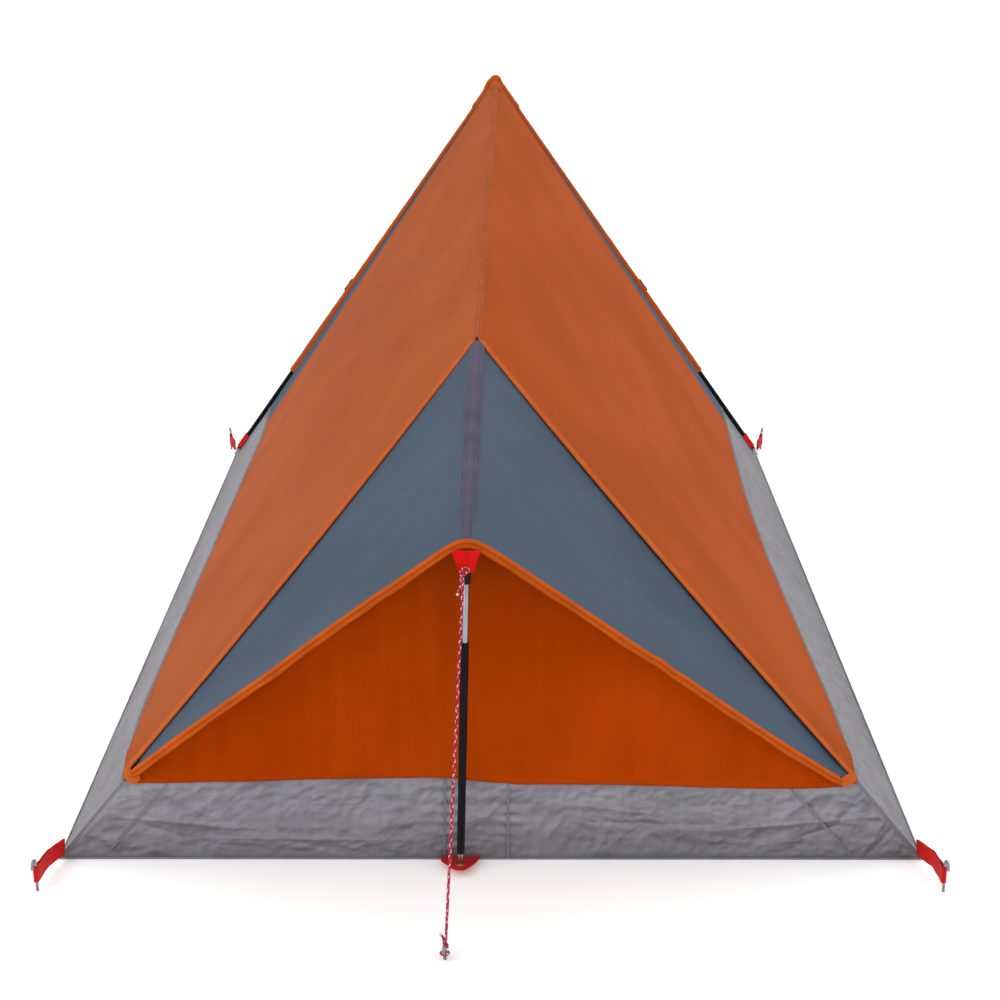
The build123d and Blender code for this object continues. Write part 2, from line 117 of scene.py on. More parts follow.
def cap1(x):
    return np.minimum(1, x)


def bell(x, centre, width):
    return np.exp(-(((x - centre) / width) ** 2))


def smooth(start, end, x):
    t = np.clip((np.asarray(x, float) - start) / (end - start), 0, 1)
    return t * t * (3 - 2 * t)


def edge_fade(dist, width):
    return np.exp(-np.maximum(dist, 0) / width)


def dist_along(path):
    return np.concatenate([[0], np.cumsum(np.linalg.norm(np.diff(path, axis=0), axis=1))])


def interp_cols(at, stops, values):
    return np.stack([np.interp(at, stops, values[:, c]) for c in range(values.shape[1])], -1)


# ------------------------------------------------------------ seeded noise
def hash_grid(ix, iy, seed):
    code = (ix * 374761393 + iy * 668265263 + seed * 974634777) & 0xFFFFFFFF
    code = ((code ^ (code >> 13)) * 1274126177) & 0xFFFFFFFF
    code = code ^ (code >> 16)
    return (code & 0xFFFF) / 65535.0


def noise(x, y, seed):
    """Gradient noise, about -1..1, the same on each run."""
    x, y = np.broadcast_arrays(np.asarray(x, float), np.asarray(y, float))
    ix, iy = np.floor(x).astype(np.int64), np.floor(y).astype(np.int64)
    fx, fy = x - ix, y - iy

    def slope(i, j):
        turn = hash_grid(ix + i, iy + j, seed) * 2 * PI
        return np.cos(turn) * (fx - i) + np.sin(turn) * (fy - j)

    sx = fx * fx * fx * (fx * (fx * 6 - 15) + 10)
    sy = fy * fy * fy * (fy * (fy * 6 - 15) + 10)
    low = slope(0, 0) * (1 - sx) + slope(1, 0) * sx
    high = slope(0, 1) * (1 - sx) + slope(1, 1) * sx
    return 1.6 * (low * (1 - sy) + high * sy)


def folds(x, y, seed, octaves):
    """Crumpled-sheet relief: facets that meet in creases."""
    wx = x + 0.35 * noise(x * 0.7 + 5, y * 0.7, seed + 50)
    wy = y + 0.35 * noise(x * 0.7, y * 0.7 + 5, seed + 51)
    out, size, freq = 0.0, 1.0, 1.0
    for k in range(octaves):
        ridge = np.abs(noise(wx * freq + 31.7 * k, wy * freq + 11.9 * k, seed + 7 * k))
        out = out + size * (0.45 - ridge)
        size *= 0.52
        freq *= 2.1
    return out


def wave(dist, period, seed):
    """Uneven puckers along a seam."""
    swing = np.sin(2 * PI * dist / period + 2.4 * noise(dist / 55.0, 0.5, seed))
    return swing * (0.6 + 0.5 * noise(dist / 37.0, 3.5, seed + 1))


# ------------------------------------------------------------ mesh builders
# A geometry is a dict: points (N,3) in mm, faces as a list of (F,k) index arrays,
# uv as matching (F,k,2) arrays in metres, tone (N,), slots as material indices per face.
def signed_volume(points, groups):
    total = 0.0
    for faces in groups:
        first = points[faces[:, 0]]
        for k in range(1, faces.shape[1] - 1):
            turn = np.cross(points[faces[:, k]], points[faces[:, k + 1]])
            total += np.einsum("ij,ij->i", first, turn).sum()
    return total


def geo(points, faces, uv=None, tone=None, slots=None):
    points = np.asarray(points, float)
    faces = [np.asarray(group, np.int64) for group in faces]
    if uv is None:
        uv = [np.zeros(group.shape + (2,)) for group in faces]
    if tone is None:
        tone = np.ones(len(points))
    if slots is None:
        slots = [np.zeros(len(group), np.int32) for group in faces]
    if signed_volume(points - points.mean(0), faces) < 0:
        faces = [group[:, ::-1] for group in faces]
        uv = [group[:, ::-1] for group in uv]
    return dict(points=points, faces=faces, uv=uv, tone=np.asarray(tone, float), slots=slots)


def grid_normals(face):
    n = np.cross(np.gradient(face, axis=0), np.gradient(face, axis=1))
    size = np.linalg.norm(n, axis=-1)
    good = size > 1e-6
    out = np.zeros_like(n)
    out[good] = n[good] / size[good][:, None]
    if not good.all():
        out[~good] = unit(out[good].mean(0))
    return out


def normals_towards(face, want):
    """Grid normals, turned so that the middle one points the way of want."""
    normals = grid_normals(face)
    middle = normals[face.shape[0] // 2, face.shape[1] // 2]
    return -normals if middle @ want < 0 else normals


def sheet(face, thick, out=None, mask=None, uv=None, tone=1.0, axes=None, under=0):
    """Closed fabric sheet: face (n,m,3) is its outer side, out the way that side looks."""
    n, m = face.shape[:2]
    normals = grid_normals(face)
    if out is not None and normals[n // 2, m // 2] @ out <= 0:
        normals = -normals
    points = np.concatenate([face.reshape(-1, 3), (face - normals * thick).reshape(-1, 3)])
    index = np.arange(n * m).reshape(n, m)
    quads = pack(index[:-1, :-1], index[1:, :-1], index[1:, 1:], index[:-1, 1:]).reshape(-1, 4)
    if mask is not None:
        quads = quads[np.asarray(mask).reshape(-1)]
    a, b = quads.ravel(), np.roll(quads, -1, axis=1).ravel()
    open_edge = ~np.isin(a * (n * m) + b, b * (n * m) + a)
    a, b = a[open_edge], b[open_edge]
    rim = pack(b, a, a + n * m, b + n * m)
    if uv is None:
        if axes is None:
            first = unit(face[-1, m // 2] - face[0, m // 2])
            axes = first, unit(np.cross(unit(normals.reshape(-1, 3).mean(0)), first))
        uv = pack(face @ axes[0], face @ axes[1]) * MM
    flat = np.concatenate([uv.reshape(-1, 2)] * 2)
    tone = np.broadcast_to(tone, (n, m)).ravel()
    faces = [quads, quads[:, ::-1] + n * m, rim]
    slots = [np.full(len(group), slot, np.int32) for group, slot in zip(faces, (0, under, 0))]
    return geo(points, faces, [flat[g] for g in faces], np.concatenate([tone, tone]), slots)


def ring_quads(count, size, closed=False):
    """Quads between count rings of size points, with their ring and point indices."""
    rings = np.arange(count if closed else count - 1)
    i, j = np.meshgrid(rings, np.arange(size), indexing="ij")
    i2, j2 = (i + 1) % count, (j + 1) % size
    quads = pack(i * size + j, i * size + j2, i2 * size + j2, i2 * size + j)
    return quads.reshape(-1, 4), i, j


def end_caps(count, size):
    return np.stack([np.arange(size)[::-1], np.arange(size) + (count - 1) * size])


def tangents(path, closed=False):
    if closed:
        return unit(np.roll(path, -1, 0) - np.roll(path, 1, 0))
    return unit(np.gradient(path, axis=0))


def frames(path, ref, closed=False):
    """Heading, sideways and upward directions along a path."""
    heading = tangents(path, closed)
    ref = np.broadcast_to(np.asarray(ref, float), heading.shape)
    above = unit(ref - (ref * heading).sum(-1, keepdims=True) * heading)
    return heading, np.cross(heading, above), above


def sweep(path, prof, ref, closed=False, tone=None, uv_round=None):
    """Closed solid along path. Profile points are (heading x ref, ref) offsets in mm."""
    path = np.asarray(path, float)
    n = len(path)
    _, across, above = frames(path, ref, closed)
    prof = np.asarray(prof, float)
    if prof.ndim == 2:
        prof = np.broadcast_to(prof, (n,) + prof.shape)
    k = prof.shape[1]
    ring = path[:, None] + prof[..., 0:1] * across[:, None] + prof[..., 1:2] * above[:, None]
    along = dist_along(path) * MM
    gap = np.linalg.norm(path[0] - path[-1]) * MM if closed else 0
    along = np.append(along, along[-1] + gap)
    middle = prof[n // 2]
    around = dist_along(np.concatenate([middle, middle[:1]])) * MM
    if uv_round is not None:
        around = around / around[-1] * uv_round
    quads, i, j = ring_quads(n, k, closed)
    u = pack(around[j], around[j + 1], around[j + 1], around[j])
    v = pack(along[i], along[i], along[i + 1], along[i + 1])
    faces, uvs = [quads], [pack(u, v).reshape(-1, 4, 2)]
    if not closed:
        faces.append(end_caps(n, k))
        uvs.append(np.zeros((2, k, 2)))
    if tone is not None:
        if np.ndim(tone) < 2:
            tone = np.repeat(np.broadcast_to(tone, (n,)), k)
        tone = np.asarray(tone).ravel()
    return geo(ring.reshape(-1, 3), faces, uvs, tone)


def tube(path, radius, count, ref=(0.013, 0.021, 1.0), closed=False, uv_round=None):
    path = np.asarray(path, float)
    radius = np.broadcast_to(np.asarray(radius, float), (len(path),))
    circle = pack(np.cos(angles(count)), np.sin(angles(count)))
    return sweep(path, circle[None] * radius[:, None, None], ref, closed, uv_round=uv_round)


def shell_tube(path, outer, inner, ref):
    """Open-ended tube with a wall: outer is an (n,k) array of radii, inner one radius."""
    n, k = outer.shape
    _, across, above = frames(path, ref)
    turn = angles(k)

    def ring(r):
        side = (r * np.cos(turn))[..., None] * across[:, None]
        return path[:, None] + side + (r * np.sin(turn))[..., None] * above[:, None]

    inner = np.broadcast_to(inner, (n, k))
    points = np.concatenate([ring(outer).reshape(-1, 3), ring(inner).reshape(-1, 3)])
    shift = n * k
    quads, i, j = ring_quads(n, k)
    along = dist_along(path) * MM
    u = pack(j, j + 1, j + 1, j) * 2 * PI / k * (float(np.mean(outer)) * MM)
    v = pack(along[i], along[i], along[i + 1], along[i + 1])
    uv = pack(u, v).reshape(-1, 4, 2)
    j = np.arange(k)
    j2 = (j + 1) % k
    start = pack(j2, j, j + shift, j2 + shift)
    end = pack(j, j2, j2 + shift, j + shift) + (n - 1) * k
    blank = np.zeros((k, 4, 2))
    return geo(points, [quads, quads[:, ::-1] + shift, start, end], [uv, uv[:, ::-1], blank, blank])


def revolve(base, axis, profile, count, ref=(0.3, 0.5, 0.2), closed=False):
    """Turned solid from (distance along axis, radius) pairs; a closed profile makes a ring."""
    axis = unit(axis)
    ref = np.asarray(ref, float)
    first = unit(ref - ref @ axis * axis)
    second = np.cross(axis, first)
    turn = angles(count)[None, :, None]
    prof = np.asarray(profile, float)
    spoke = np.cos(turn) * first + np.sin(turn) * second
    ring = vec(*base) + prof[:, None, 0:1] * axis + prof[:, None, 1:2] * spoke
    faces = [ring_quads(len(prof), count, closed)[0]]
    if not closed:
        faces.append(end_caps(len(prof), count))
    return geo(ring.reshape(-1, 3), faces)


def resample(path, step=None, count=None):
    path = np.asarray(path, float)
    dist = dist_along(path)
    if count is None:
        count = max(2, int(round(dist[-1] / step)) + 1)
    return interp_cols(np.linspace(0, dist[-1], count), dist, path)


def rounded_path(points, radius, step):
    """Polyline with its inner corners rounded, resampled."""
    points = [np.asarray(p, float) for p in points]
    out = [points[0]]
    for before, corner, after in zip(points[:-2], points[1:-1], points[2:]):
        to_before, to_after = before - corner, after - corner
        r = min(radius, 0.45 * np.linalg.norm(to_before), 0.45 * np.linalg.norm(to_after))
        start, end = corner + unit(to_before) * r, corner + unit(to_after) * r
        for t in span(9):
            out.append((1 - t) ** 2 * start + 2 * t * (1 - t) * corner + t * t * end)
    out.append(points[-1])
    return resample(np.array(out), step)


def stitches(path, normal, row, lift=0.25):
    """Thread dashes on a surface along path; row is (pitch, dash, radius)."""
    pitch, dash, radius = row
    path = np.asarray(path, float)
    normal = np.broadcast_to(np.asarray(normal, float), path.shape)
    dist = dist_along(path)
    count = max(1, int(dist[-1] / pitch))
    middle = (np.arange(count) + 0.5) * dist[-1] / count
    # stations: offset along the row, rise above the surface, radius factor
    stations = []
    for offset, rise, factor in ((-dash / 2, -0.35, 0.55), (-dash * 0.22, lift, 1.0),
                                 (dash * 0.22, lift, 1.0), (dash / 2, -0.35, 0.55)):
        at = np.clip(middle + offset, 0, dist[-1])
        out = unit(interp_cols(at, dist, normal))
        stations.append((interp_cols(at, dist, path) + out * rise, out, radius * factor))
    heading = unit(stations[2][0] - stations[1][0])
    rings = []
    for centre, out, r in stations:
        side = unit(np.cross(heading, out))
        rings.append(np.stack([centre + side * r, centre + out * r,
                               centre - side * r, centre - out * r], 1))
    base = (np.arange(count) * 16)[:, None]
    faces = []
    for s in range(0, 12, 4):
        for j in range(4):
            j2 = (j + 1) % 4
            faces.append(base + np.array([s + j, s + j2, s + 4 + j2, s + 4 + j]))
    faces += [base + np.array([3, 2, 1, 0]), base + np.array([12, 13, 14, 15])]
    g = geo(np.stack(rings, 1).reshape(-1, 3), [np.concatenate(faces)])
    draws = np.random.RandomState(3).rand(len(g["faces"][0]), 1, 2)
    g["uv"] = [draws.repeat(4, 1) * 0.01]
    return g


def add_object(name, mesh, stand, body):
    obj = bpy.data.objects.new(name, mesh)
    bpy.context.scene.collection.objects.link(obj)
    if body:
        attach(obj, body)
    if stand:
        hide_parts(stand)
    return obj


def weld_mesh(mesh):
    bm = bmesh.new()
    bm.from_mesh(mesh)
    bmesh.ops.remove_doubles(bm, verts=bm.verts, dist=3e-6)
    bmesh.ops.dissolve_degenerate(bm, edges=bm.edges, dist=1e-7)
    loose = [vert for vert in bm.verts if not vert.link_faces]
    bmesh.ops.delete(bm, geom=loose, context="VERTS")
    bm.to_mesh(mesh)
    bm.free()


def add_layers(mesh, uv, tone):
    layer = mesh.uv_layers.new(name="UVMap")
    layer.data.foreach_set("uv", uv)
    attribute = mesh.attributes.new("tone", "FLOAT", "POINT")
    attribute.data.foreach_set("value", tone.astype(np.float32))


def build(name, parts, mats, stand=None, body="tent", weld=False, angle=42):
    """One object from one geometry or a list of them."""
    if isinstance(parts, dict):
        parts = [parts]
    faces, base = [], 0
    for g in parts:
        for group in g["faces"]:
            faces.extend((group + base).tolist())
        base += len(g["points"])
    mesh = bpy.data.meshes.new(name)
    points = np.concatenate([g["points"] for g in parts]) * MM
    mesh.from_pydata(points.tolist(), [], faces)
    uv = np.concatenate([group.reshape(-1, 2) for g in parts for group in g["uv"]])
    add_layers(mesh, uv.astype(np.float32).ravel(), np.concatenate([g["tone"] for g in parts]))
    for mat in mats if isinstance(mats, (list, tuple)) else [mats]:
        mesh.materials.append(mat)
    slots = np.concatenate([group for g in parts for group in g["slots"]])
    mesh.polygons.foreach_set("material_index", slots.astype(np.int32))
    if weld:
        weld_mesh(mesh)
    mesh.polygons.foreach_set("use_smooth", np.ones(len(mesh.polygons), bool))
    mesh.set_sharp_from_angle(angle=math.radians(angle))
    mesh.update()
    return add_object(name, mesh, stand, body)


def both(make):
    """Runs make(side, sign) for the left, then the right; results are kept by sign."""
    return {sign: make(side, sign) for side, sign in SIDES}


# ---------------------------------------------------------------- material graphs
def lin(*rgb):
    """Linear colour from 0..255 sRGB."""
    parts = [c / 255 for c in rgb]
    return tuple(c / 12.92 if c <= 0.04045 else ((c + 0.055) / 1.055) ** 2.4
                 for c in parts) + (1.0,)


class Field:
    """A shader output; +, - and * on it add math nodes to its graph."""

    def __init__(self, graph, socket):
        self.graph = graph
        self.socket = socket

    def __add__(self, other):
        return self.graph.math("ADD", self, other)

    def __radd__(self, other):
        return self.graph.math("ADD", other, self)

    def __sub__(self, other):
        return self.graph.math("SUBTRACT", self, other)

    def __mul__(self, other):
        return self.graph.math("MULTIPLY", self, other)


class Graph:
    """Small node-graph writer around one Principled material."""

    SOCKETS = dict(metal="Metallic", spec="Specular IOR Level", spec_tint="Specular Tint",
                   sheen="Sheen Weight", sheen_rough="Sheen Roughness", sheen_tint="Sheen Tint")

    def __init__(self, name):
        self.material = bpy.data.materials.new(name)
        self.material.use_nodes = True
        self.tree = self.material.node_tree
        self.tree.nodes.clear()
        output = self.tree.nodes.new("ShaderNodeOutputMaterial")
        self.shader = self.tree.nodes.new("ShaderNodeBsdfPrincipled")
        self.tree.links.new(self.shader.outputs[0], output.inputs[0])

    def set(self, socket, value):
        if isinstance(value, Field):
            self.tree.links.new(value.socket, socket)
        else:
            socket.default_value = value

    def node(self, kind, inputs=None, out=0, **props):
        node = self.tree.nodes.new(kind)
        for key, value in props.items():
            setattr(node, key, value)
        for key, value in (inputs or {}).items():
            self.set(node.inputs[key], value)
        return Field(self, node.outputs[out])

    def math(self, operation, a, b=0.0):
        return self.node("ShaderNodeMath", {0: a, 1: b, 2: 0.0}, operation=operation)

    def sine(self, value):
        return self.math("SINE", value)

    def abs(self, value):
        return self.math("ABSOLUTE", value)

    def noise(self, vector, scale=1.0, detail=3.0, rough=0.55, dist=0.0):
        return self.node("ShaderNodeTexNoise", {"Vector": vector, "Scale": scale, "Detail": detail,
                                                "Roughness": rough, "Distortion": dist})

    def map(self, vector, scale, turn=(0, 0, 0)):
        return self.node("ShaderNodeMapping", {"Vector": vector, "Scale": scale,
                                               "Rotation": turn, "Location": (0, 0, 0)})

    def yarns(self, uv, low, high, rough):
        """Streaks along both thread directions, about 0..2."""
        first = self.noise(self.map(uv, (low, high, 1)), detail=2, rough=rough)
        return first + self.noise(self.map(uv, (high, low, 1)), detail=2, rough=rough)

    def mix(self, factor, a, b):
        return self.node("ShaderNodeMix", {0: factor, 6: a, 7: b}, out=2,
                         data_type="RGBA", blend_type="MIX")

    def ramp(self, value, low, high, start=0.0, end=1.0):
        return self.node("ShaderNodeMapRange", {0: value, 1: low, 2: high, 3: start, 4: end},
                         clamp=True)

    def scaled(self, colour, factor):
        return self.node("ShaderNodeVectorMath", {0: colour, 3: factor}, operation="SCALE")

    def bump(self, height, strength, distance, normal=None):
        inputs = {"Height": height, "Strength": strength, "Distance": distance}
        if normal is not None:
            inputs["Normal"] = normal
        return self.node("ShaderNodeBump", inputs)

    def uv(self):
        return self.node("ShaderNodeUVMap", uv_map="UVMap")

    def place(self):
        return self.node("ShaderNodeTexCoord", out="Object")

    def tone(self):
        return self.node("ShaderNodeAttribute", out="Fac", attribute_name="tone")

    def xyz(self, vector):
        split = self.node("ShaderNodeSeparateXYZ", {0: vector}).socket.node
        return [Field(self, split.outputs[k]) for k in range(3)]

    def done(self, colour, rough, normal, **weights):
        self.set(self.shader.inputs["Base Color"], colour)
        self.set(self.shader.inputs["Roughness"], rough)
        self.set(self.shader.inputs["Normal"], normal)
        for key, value in weights.items():
            self.set(self.shader.inputs[self.SOCKETS[key]], value)
        return self.material


def taffeta(name, a, b, rough=0.82, spec=0.05, sheen=0.01, mottle=0.16, yarn=0.10, crease=0.30,
            tint=0.75):
    """Coated taffeta: plain weave, uneven yarns, soft blotches of colour and fine creases."""
    pitch = 0.0011                       # metres per weave wave
    g = Graph(name)
    uv = g.uv()
    x, y, _ = g.xyz(uv)
    weave = g.sine(x * (2 * PI / pitch)) * g.sine(y * (2 * PI / pitch))
    blotch = g.noise(uv, scale=2.6, detail=3, rough=0.6)
    mid = g.noise(uv, scale=21.0, detail=4, rough=0.62, dist=0.4)
    yarns = g.yarns(uv, low=14, high=620, rough=0.5)
    colour = g.mix(g.ramp(blotch, low=0.36, high=0.64), lin(*a), lin(*b))
    shade = (mid - 0.5) * mottle + 1.0
    shade = shade + (yarns - 1.0) * yarn
    shade = shade + weave * 0.05
    colour = g.scaled(colour, shade * g.tone())
    # long packing creases and crinkle between them
    folded = g.map(uv, (9, 26, 1), turn=(0, 0, 0.5))
    lines = g.abs(g.noise(folded, detail=4, rough=0.6, dist=0.8) - 0.5)
    fine = g.noise(uv, scale=160.0, detail=3, rough=0.6)
    creased = g.bump(lines * 1.6 + fine * 0.22, strength=crease, distance=0.0016)
    normal = g.bump(weave + yarns, strength=0.22, distance=0.00012, normal=creased)
    base = lin(*a)[:3]
    tinted = tuple(1 - tint + tint * c / max(base) for c in base) + (1.0,)
    return g.done(colour, (mid - 0.5) * 0.22 + rough, normal, spec=spec, spec_tint=tinted,
                  sheen=sheen, sheen_rough=0.45, sheen_tint=tinted)


def tarpaulin(name, a, b, dark):
    """Woven flat tapes in a visible grid, satin coating, creased relief, colour darker towards the
    ground.
    """
    turn = PI / 0.0026                   # one tape every 2.6 mm
    g = Graph(name)
    uv = g.uv()
    x, y, _ = g.xyz(uv)
    tape_x = g.abs(g.sine(x * turn))
    tape_y = g.abs(g.sine(y * turn))
    check = g.sine(x * turn) * g.sine(y * turn)
    grid = g.math("MINIMUM", g.math("POWER", tape_x, 0.35), g.math("POWER", tape_y, 0.35))
    blotch = g.noise(uv, scale=6.0, detail=4, rough=0.62, dist=0.5)
    mid = g.noise(uv, scale=34.0, detail=4, rough=0.65, dist=0.8)
    yarns = g.yarns(uv, low=5, high=150, rough=0.6)
    colour = g.mix(g.ramp(blotch, low=0.34, high=0.66), lin(*a), lin(*b))
    colour = g.mix(g.ramp(mid, low=0.56, high=0.78, end=0.5), colour, lin(*dark))
    shade = 0.93 + grid * 0.08
    shade = shade + (yarns - 1.0) * 0.22
    shade = shade + check * 0.02
    height = g.xyz(g.place())[2]
    # colour darker towards the ground, over the lowest 75 mm
    darker_near_ground = g.ramp(height + (mid - 0.5) * 0.05, low=0.0, high=0.075, start=0.80, end=1.0)
    colour = g.scaled(colour, shade * darker_near_ground * g.tone())
    lines = g.abs(g.noise(uv, scale=24.0, detail=5, rough=0.66, dist=1.4) - 0.5)
    creased = g.bump(lines, strength=0.55, distance=0.0042)
    normal = g.bump(grid + check * 0.35, strength=0.30, distance=0.00022, normal=creased)
    return g.done(colour, mid * 0.25 + 0.36, normal, spec=0.22, sheen=0.0)


def webbing_mat(name, a, b):
    """Ribbed webbing: rows across it and a worn pile."""
    g = Graph(name)
    uv = g.uv()
    x, y, _ = g.xyz(uv)
    rib = g.sine(y * (2 * PI / 0.0016))
    column = g.sine(x * (2 * PI / 0.0021))
    weave = rib * (column * 0.5 + 0.6)
    mid = g.noise(uv, scale=90.0, detail=4, rough=0.6)
    blotch = g.noise(uv, scale=14.0, detail=3, rough=0.6)
    colour = g.mix(g.ramp(blotch, low=0.35, high=0.65), lin(*a), lin(*b))
    shade = 1.0 + weave * 0.10
    shade = shade + (mid - 0.5) * 0.35
    colour = g.scaled(colour, shade * g.tone())
    normal = g.bump(weave + mid * 0.8, strength=0.55, distance=0.00035)
    return g.done(colour, 0.6 + mid * 0.2, normal, spec=0.14, sheen=0.04, sheen_rough=0.4)


def cord_mat(name, base, dark, fleck=None):
    """Braided cord, with pale tracer strands that surface in flecks if fleck is given."""
    g = Graph(name)
    uv = g.uv()                          # once round in u, metres along in v
    x, y, _ = g.xyz(uv)
    strands, per_metre = 6.0, 1 / 0.0021
    one_way = g.sine((x * strands + y * per_metre) * (2 * PI))
    other_way = g.sine((x * strands - y * per_metre) * (2 * PI))
    braid = g.math("MAXIMUM", one_way, other_way)
    mid = g.noise(g.map(uv, (3, 400, 1)), detail=3, rough=0.6)
    colour = g.mix(g.ramp(braid, low=-0.3, high=0.9), lin(*dark), lin(*base))

    def tracer(hand, shift):
        """A strand wound round the cord once every 29 mm, now over, now under the cover."""
        phase = g.math("FRACT", x * hand + y * (1 / 0.029) + shift)
        strand = g.math("LESS_THAN", g.abs(phase - 0.5), 0.05)
        dive = g.sine((y + shift * 0.004) * (2 * PI / 0.0064))
        return strand * g.math("GREATER_THAN", dive, -0.35)

    if fleck:
        flecks = g.math("MAXIMUM", tracer(hand=1.0, shift=0.0), tracer(hand=1.0, shift=0.5))
        flecks = g.math("MAXIMUM", flecks, tracer(hand=-1.0, shift=0.25) * 0.55)
        colour = g.mix(flecks, colour, lin(*fleck))
    colour = g.scaled(colour, (0.86 + mid * 0.28) * g.tone())
    normal = g.bump(braid, strength=0.7, distance=0.0005)
    return g.done(colour, 0.6, normal, spec=0.2, sheen=0.05)


def metal(name, rgb, rough, streak=(8, 8, 300), grain=0.12, dirt=None):
    """Drawn or turned metal: streaks, small dents, dulled patches, dirt near the ground."""
    g = Graph(name)
    place = g.place()
    streaks = g.noise(g.map(place, streak), detail=3, rough=0.6)
    patch = g.noise(place, scale=26.0, detail=4, rough=0.6)
    fine = g.noise(place, scale=900.0, detail=2, rough=0.5)
    shade = (1.0 - grain / 2) + streaks * grain
    shade = shade + (patch - 0.5) * grain
    colour = g.scaled(lin(*rgb)[:3], shade)
    if dirt:
        height = g.xyz(place)[2] + patch * 0.02
        cover = g.ramp(height, low=-0.01, high=0.03, start=0.65, end=0.0)
        colour = g.mix(cover, colour, lin(*dirt))
    normal = g.bump(streaks + fine * 0.3, strength=0.15, distance=0.0002)
    return g.done(colour, rough + (streaks + patch - 1.0) * 0.25, normal, metal=1.0, spec=0.5)


def plastic(name, rgb, worn, rough=0.42, grain=700.0, spec=0.45, depth=0.00018):
    """Moulded or coated finish: fine grain, scuffs that catch light, small tone changes."""
    g = Graph(name)
    place = g.place()
    fine = g.noise(place, scale=grain, detail=3, rough=0.6)
    scuff = g.noise(g.map(place, (30, 30, 55)), detail=5, rough=0.7, dist=0.6)
    blotch = g.noise(place, scale=12.0, detail=3, rough=0.5)
    colour = g.mix(g.ramp(scuff, low=0.58, high=0.80, end=0.55), lin(*rgb), lin(*worn))
    colour = g.scaled(colour, 0.8 + blotch * 0.4)
    normal = g.bump(fine, strength=0.3, distance=depth)
    return g.done(colour, (rough - 0.08) + scuff * 0.2, normal, spec=spec)


def thread(name, rgb, worn):
    return plastic(name, rgb, worn, rough=0.6, grain=2500.0)


# One orange fabric in two copies: the left copy is paler and pinker with painted sheen from the key
# light on that side, and the right copy is more saturated.
ORANGE_L_PAINTED_SHEEN = taffeta("orange_taffeta_left_painted_sheen", (160, 81, 42), (152, 75, 37), tint=0.6)
ORANGE_R = taffeta("orange_taffeta_right", (163, 74, 23), (155, 68, 19), tint=0.8)
# The rear wall's copy of the orange fabric is darker and more saturated: painted shade under the
# eave.
ORANGE_W_PAINTED_SHADE = taffeta("orange_taffeta_wall_painted_shade", (166, 60, 4), (154, 53, 2), mottle=0.18, yarn=0.12,
                   crease=0.22, sheen=0.0, spec=0.04, tint=1.0)
ORANGE_IN = taffeta("orange_taffeta_inside", (150, 70, 30), (140, 62, 26), sheen=0.0)
HEM = taffeta("orange_hem", (186, 92, 40), (176, 82, 34), mottle=0.2, yarn=0.16)
BINDING = taffeta("orange_binding", (190, 84, 22), (176, 74, 16), mottle=0.22, yarn=0.2,
                  crease=0.4, tint=0.9)
SLEEVE = taffeta("orange_sleeve", (172, 80, 34), (162, 74, 30), crease=0.45)
GREY = taffeta("blue_grey_taffeta", (71, 84, 99), (65, 78, 92), rough=0.7, spec=0.06,
               mottle=0.12, tint=0.4)
GREY_IN = taffeta("blue_grey_inside", (70, 80, 92), (64, 74, 86))
SEAM_TAPE = taffeta("seam_tape", (86, 81, 98), (76, 76, 91), mottle=0.2, yarn=0.2)
DOOR = taffeta("door_taffeta", (172, 80, 34), (162, 74, 30), mottle=0.14)
BAND = tarpaulin("grey_tarpaulin", (129, 127, 133), (120, 118, 125), (88, 87, 93))
GROUND = tarpaulin("groundsheet_tarpaulin", (126, 126, 133), (116, 116, 124), (88, 88, 96))
RED = webbing_mat("red_webbing", (205, 14, 12), (176, 8, 10))
RED_TOP = webbing_mat("red_webbing_top", (222, 8, 6), (200, 4, 4))
ZIP_TAPE = webbing_mat("zip_tape_weave", (34, 34, 38), (26, 26, 30))
CORD = cord_mat("guy_cord", (188, 18, 52), (128, 8, 34), (236, 206, 214))
CORD_END = cord_mat("guy_cord_end", (240, 220, 222), (200, 160, 166))
ELASTIC = cord_mat("elastic_cord", (40, 40, 44), (18, 18, 20), (120, 120, 124))
thread("thread_orange", (196, 96, 40), (220, 130, 70))
THREAD_D = thread("thread_rust", (120, 48, 18), (150, 70, 34))
THREAD_G = thread("thread_grey", (70, 70, 84), (110, 100, 120))
THREAD_B = thread("thread_band", (84, 82, 88), (120, 118, 124))
THREAD_R = thread("thread_red", (150, 4, 6), (210, 40, 40))
MESH = plastic("insect_mesh", (26, 26, 28), (60, 60, 64), rough=0.55)
COIL = plastic("zip_coil", (22, 22, 25), (60, 60, 66), rough=0.32, spec=0.55)
BLACK = plastic("black_moulding", (9, 9, 11), (32, 32, 35), rough=0.38, spec=0.18)
POLE_BLACK = plastic("black_pole_finish", (6, 6, 10), (24, 26, 31), rough=0.24, grain=1400.0,
                     depth=0.00005, spec=0.11)
POLE_SILVER = metal("drawn_aluminium", (152, 154, 159), rough=0.28, streak=(330, 330, 3),
                    grain=0.62)
STEEL = metal("turned_steel", (168, 170, 174), rough=0.32, streak=(30, 30, 500),
              dirt=(70, 62, 54))
PEG = metal("galvanised_peg", (140, 142, 146), rough=0.42, streak=(60, 60, 20), grain=0.25,
            dirt=(62, 56, 50))
ALU = metal("ferrule_aluminium", (180, 182, 186), rough=0.36)
BRASS = metal("pressed_brass", (190, 150, 84), rough=0.36, streak=(200, 200, 200), grain=0.25)
ZINC = metal("zinc_slider", (92, 94, 98), rough=0.34, streak=(90, 90, 90), grain=0.3)
TOGGLE = plastic("toggle_plastic", (20, 20, 22), (56, 56, 60), rough=0.3, grain=300.0)

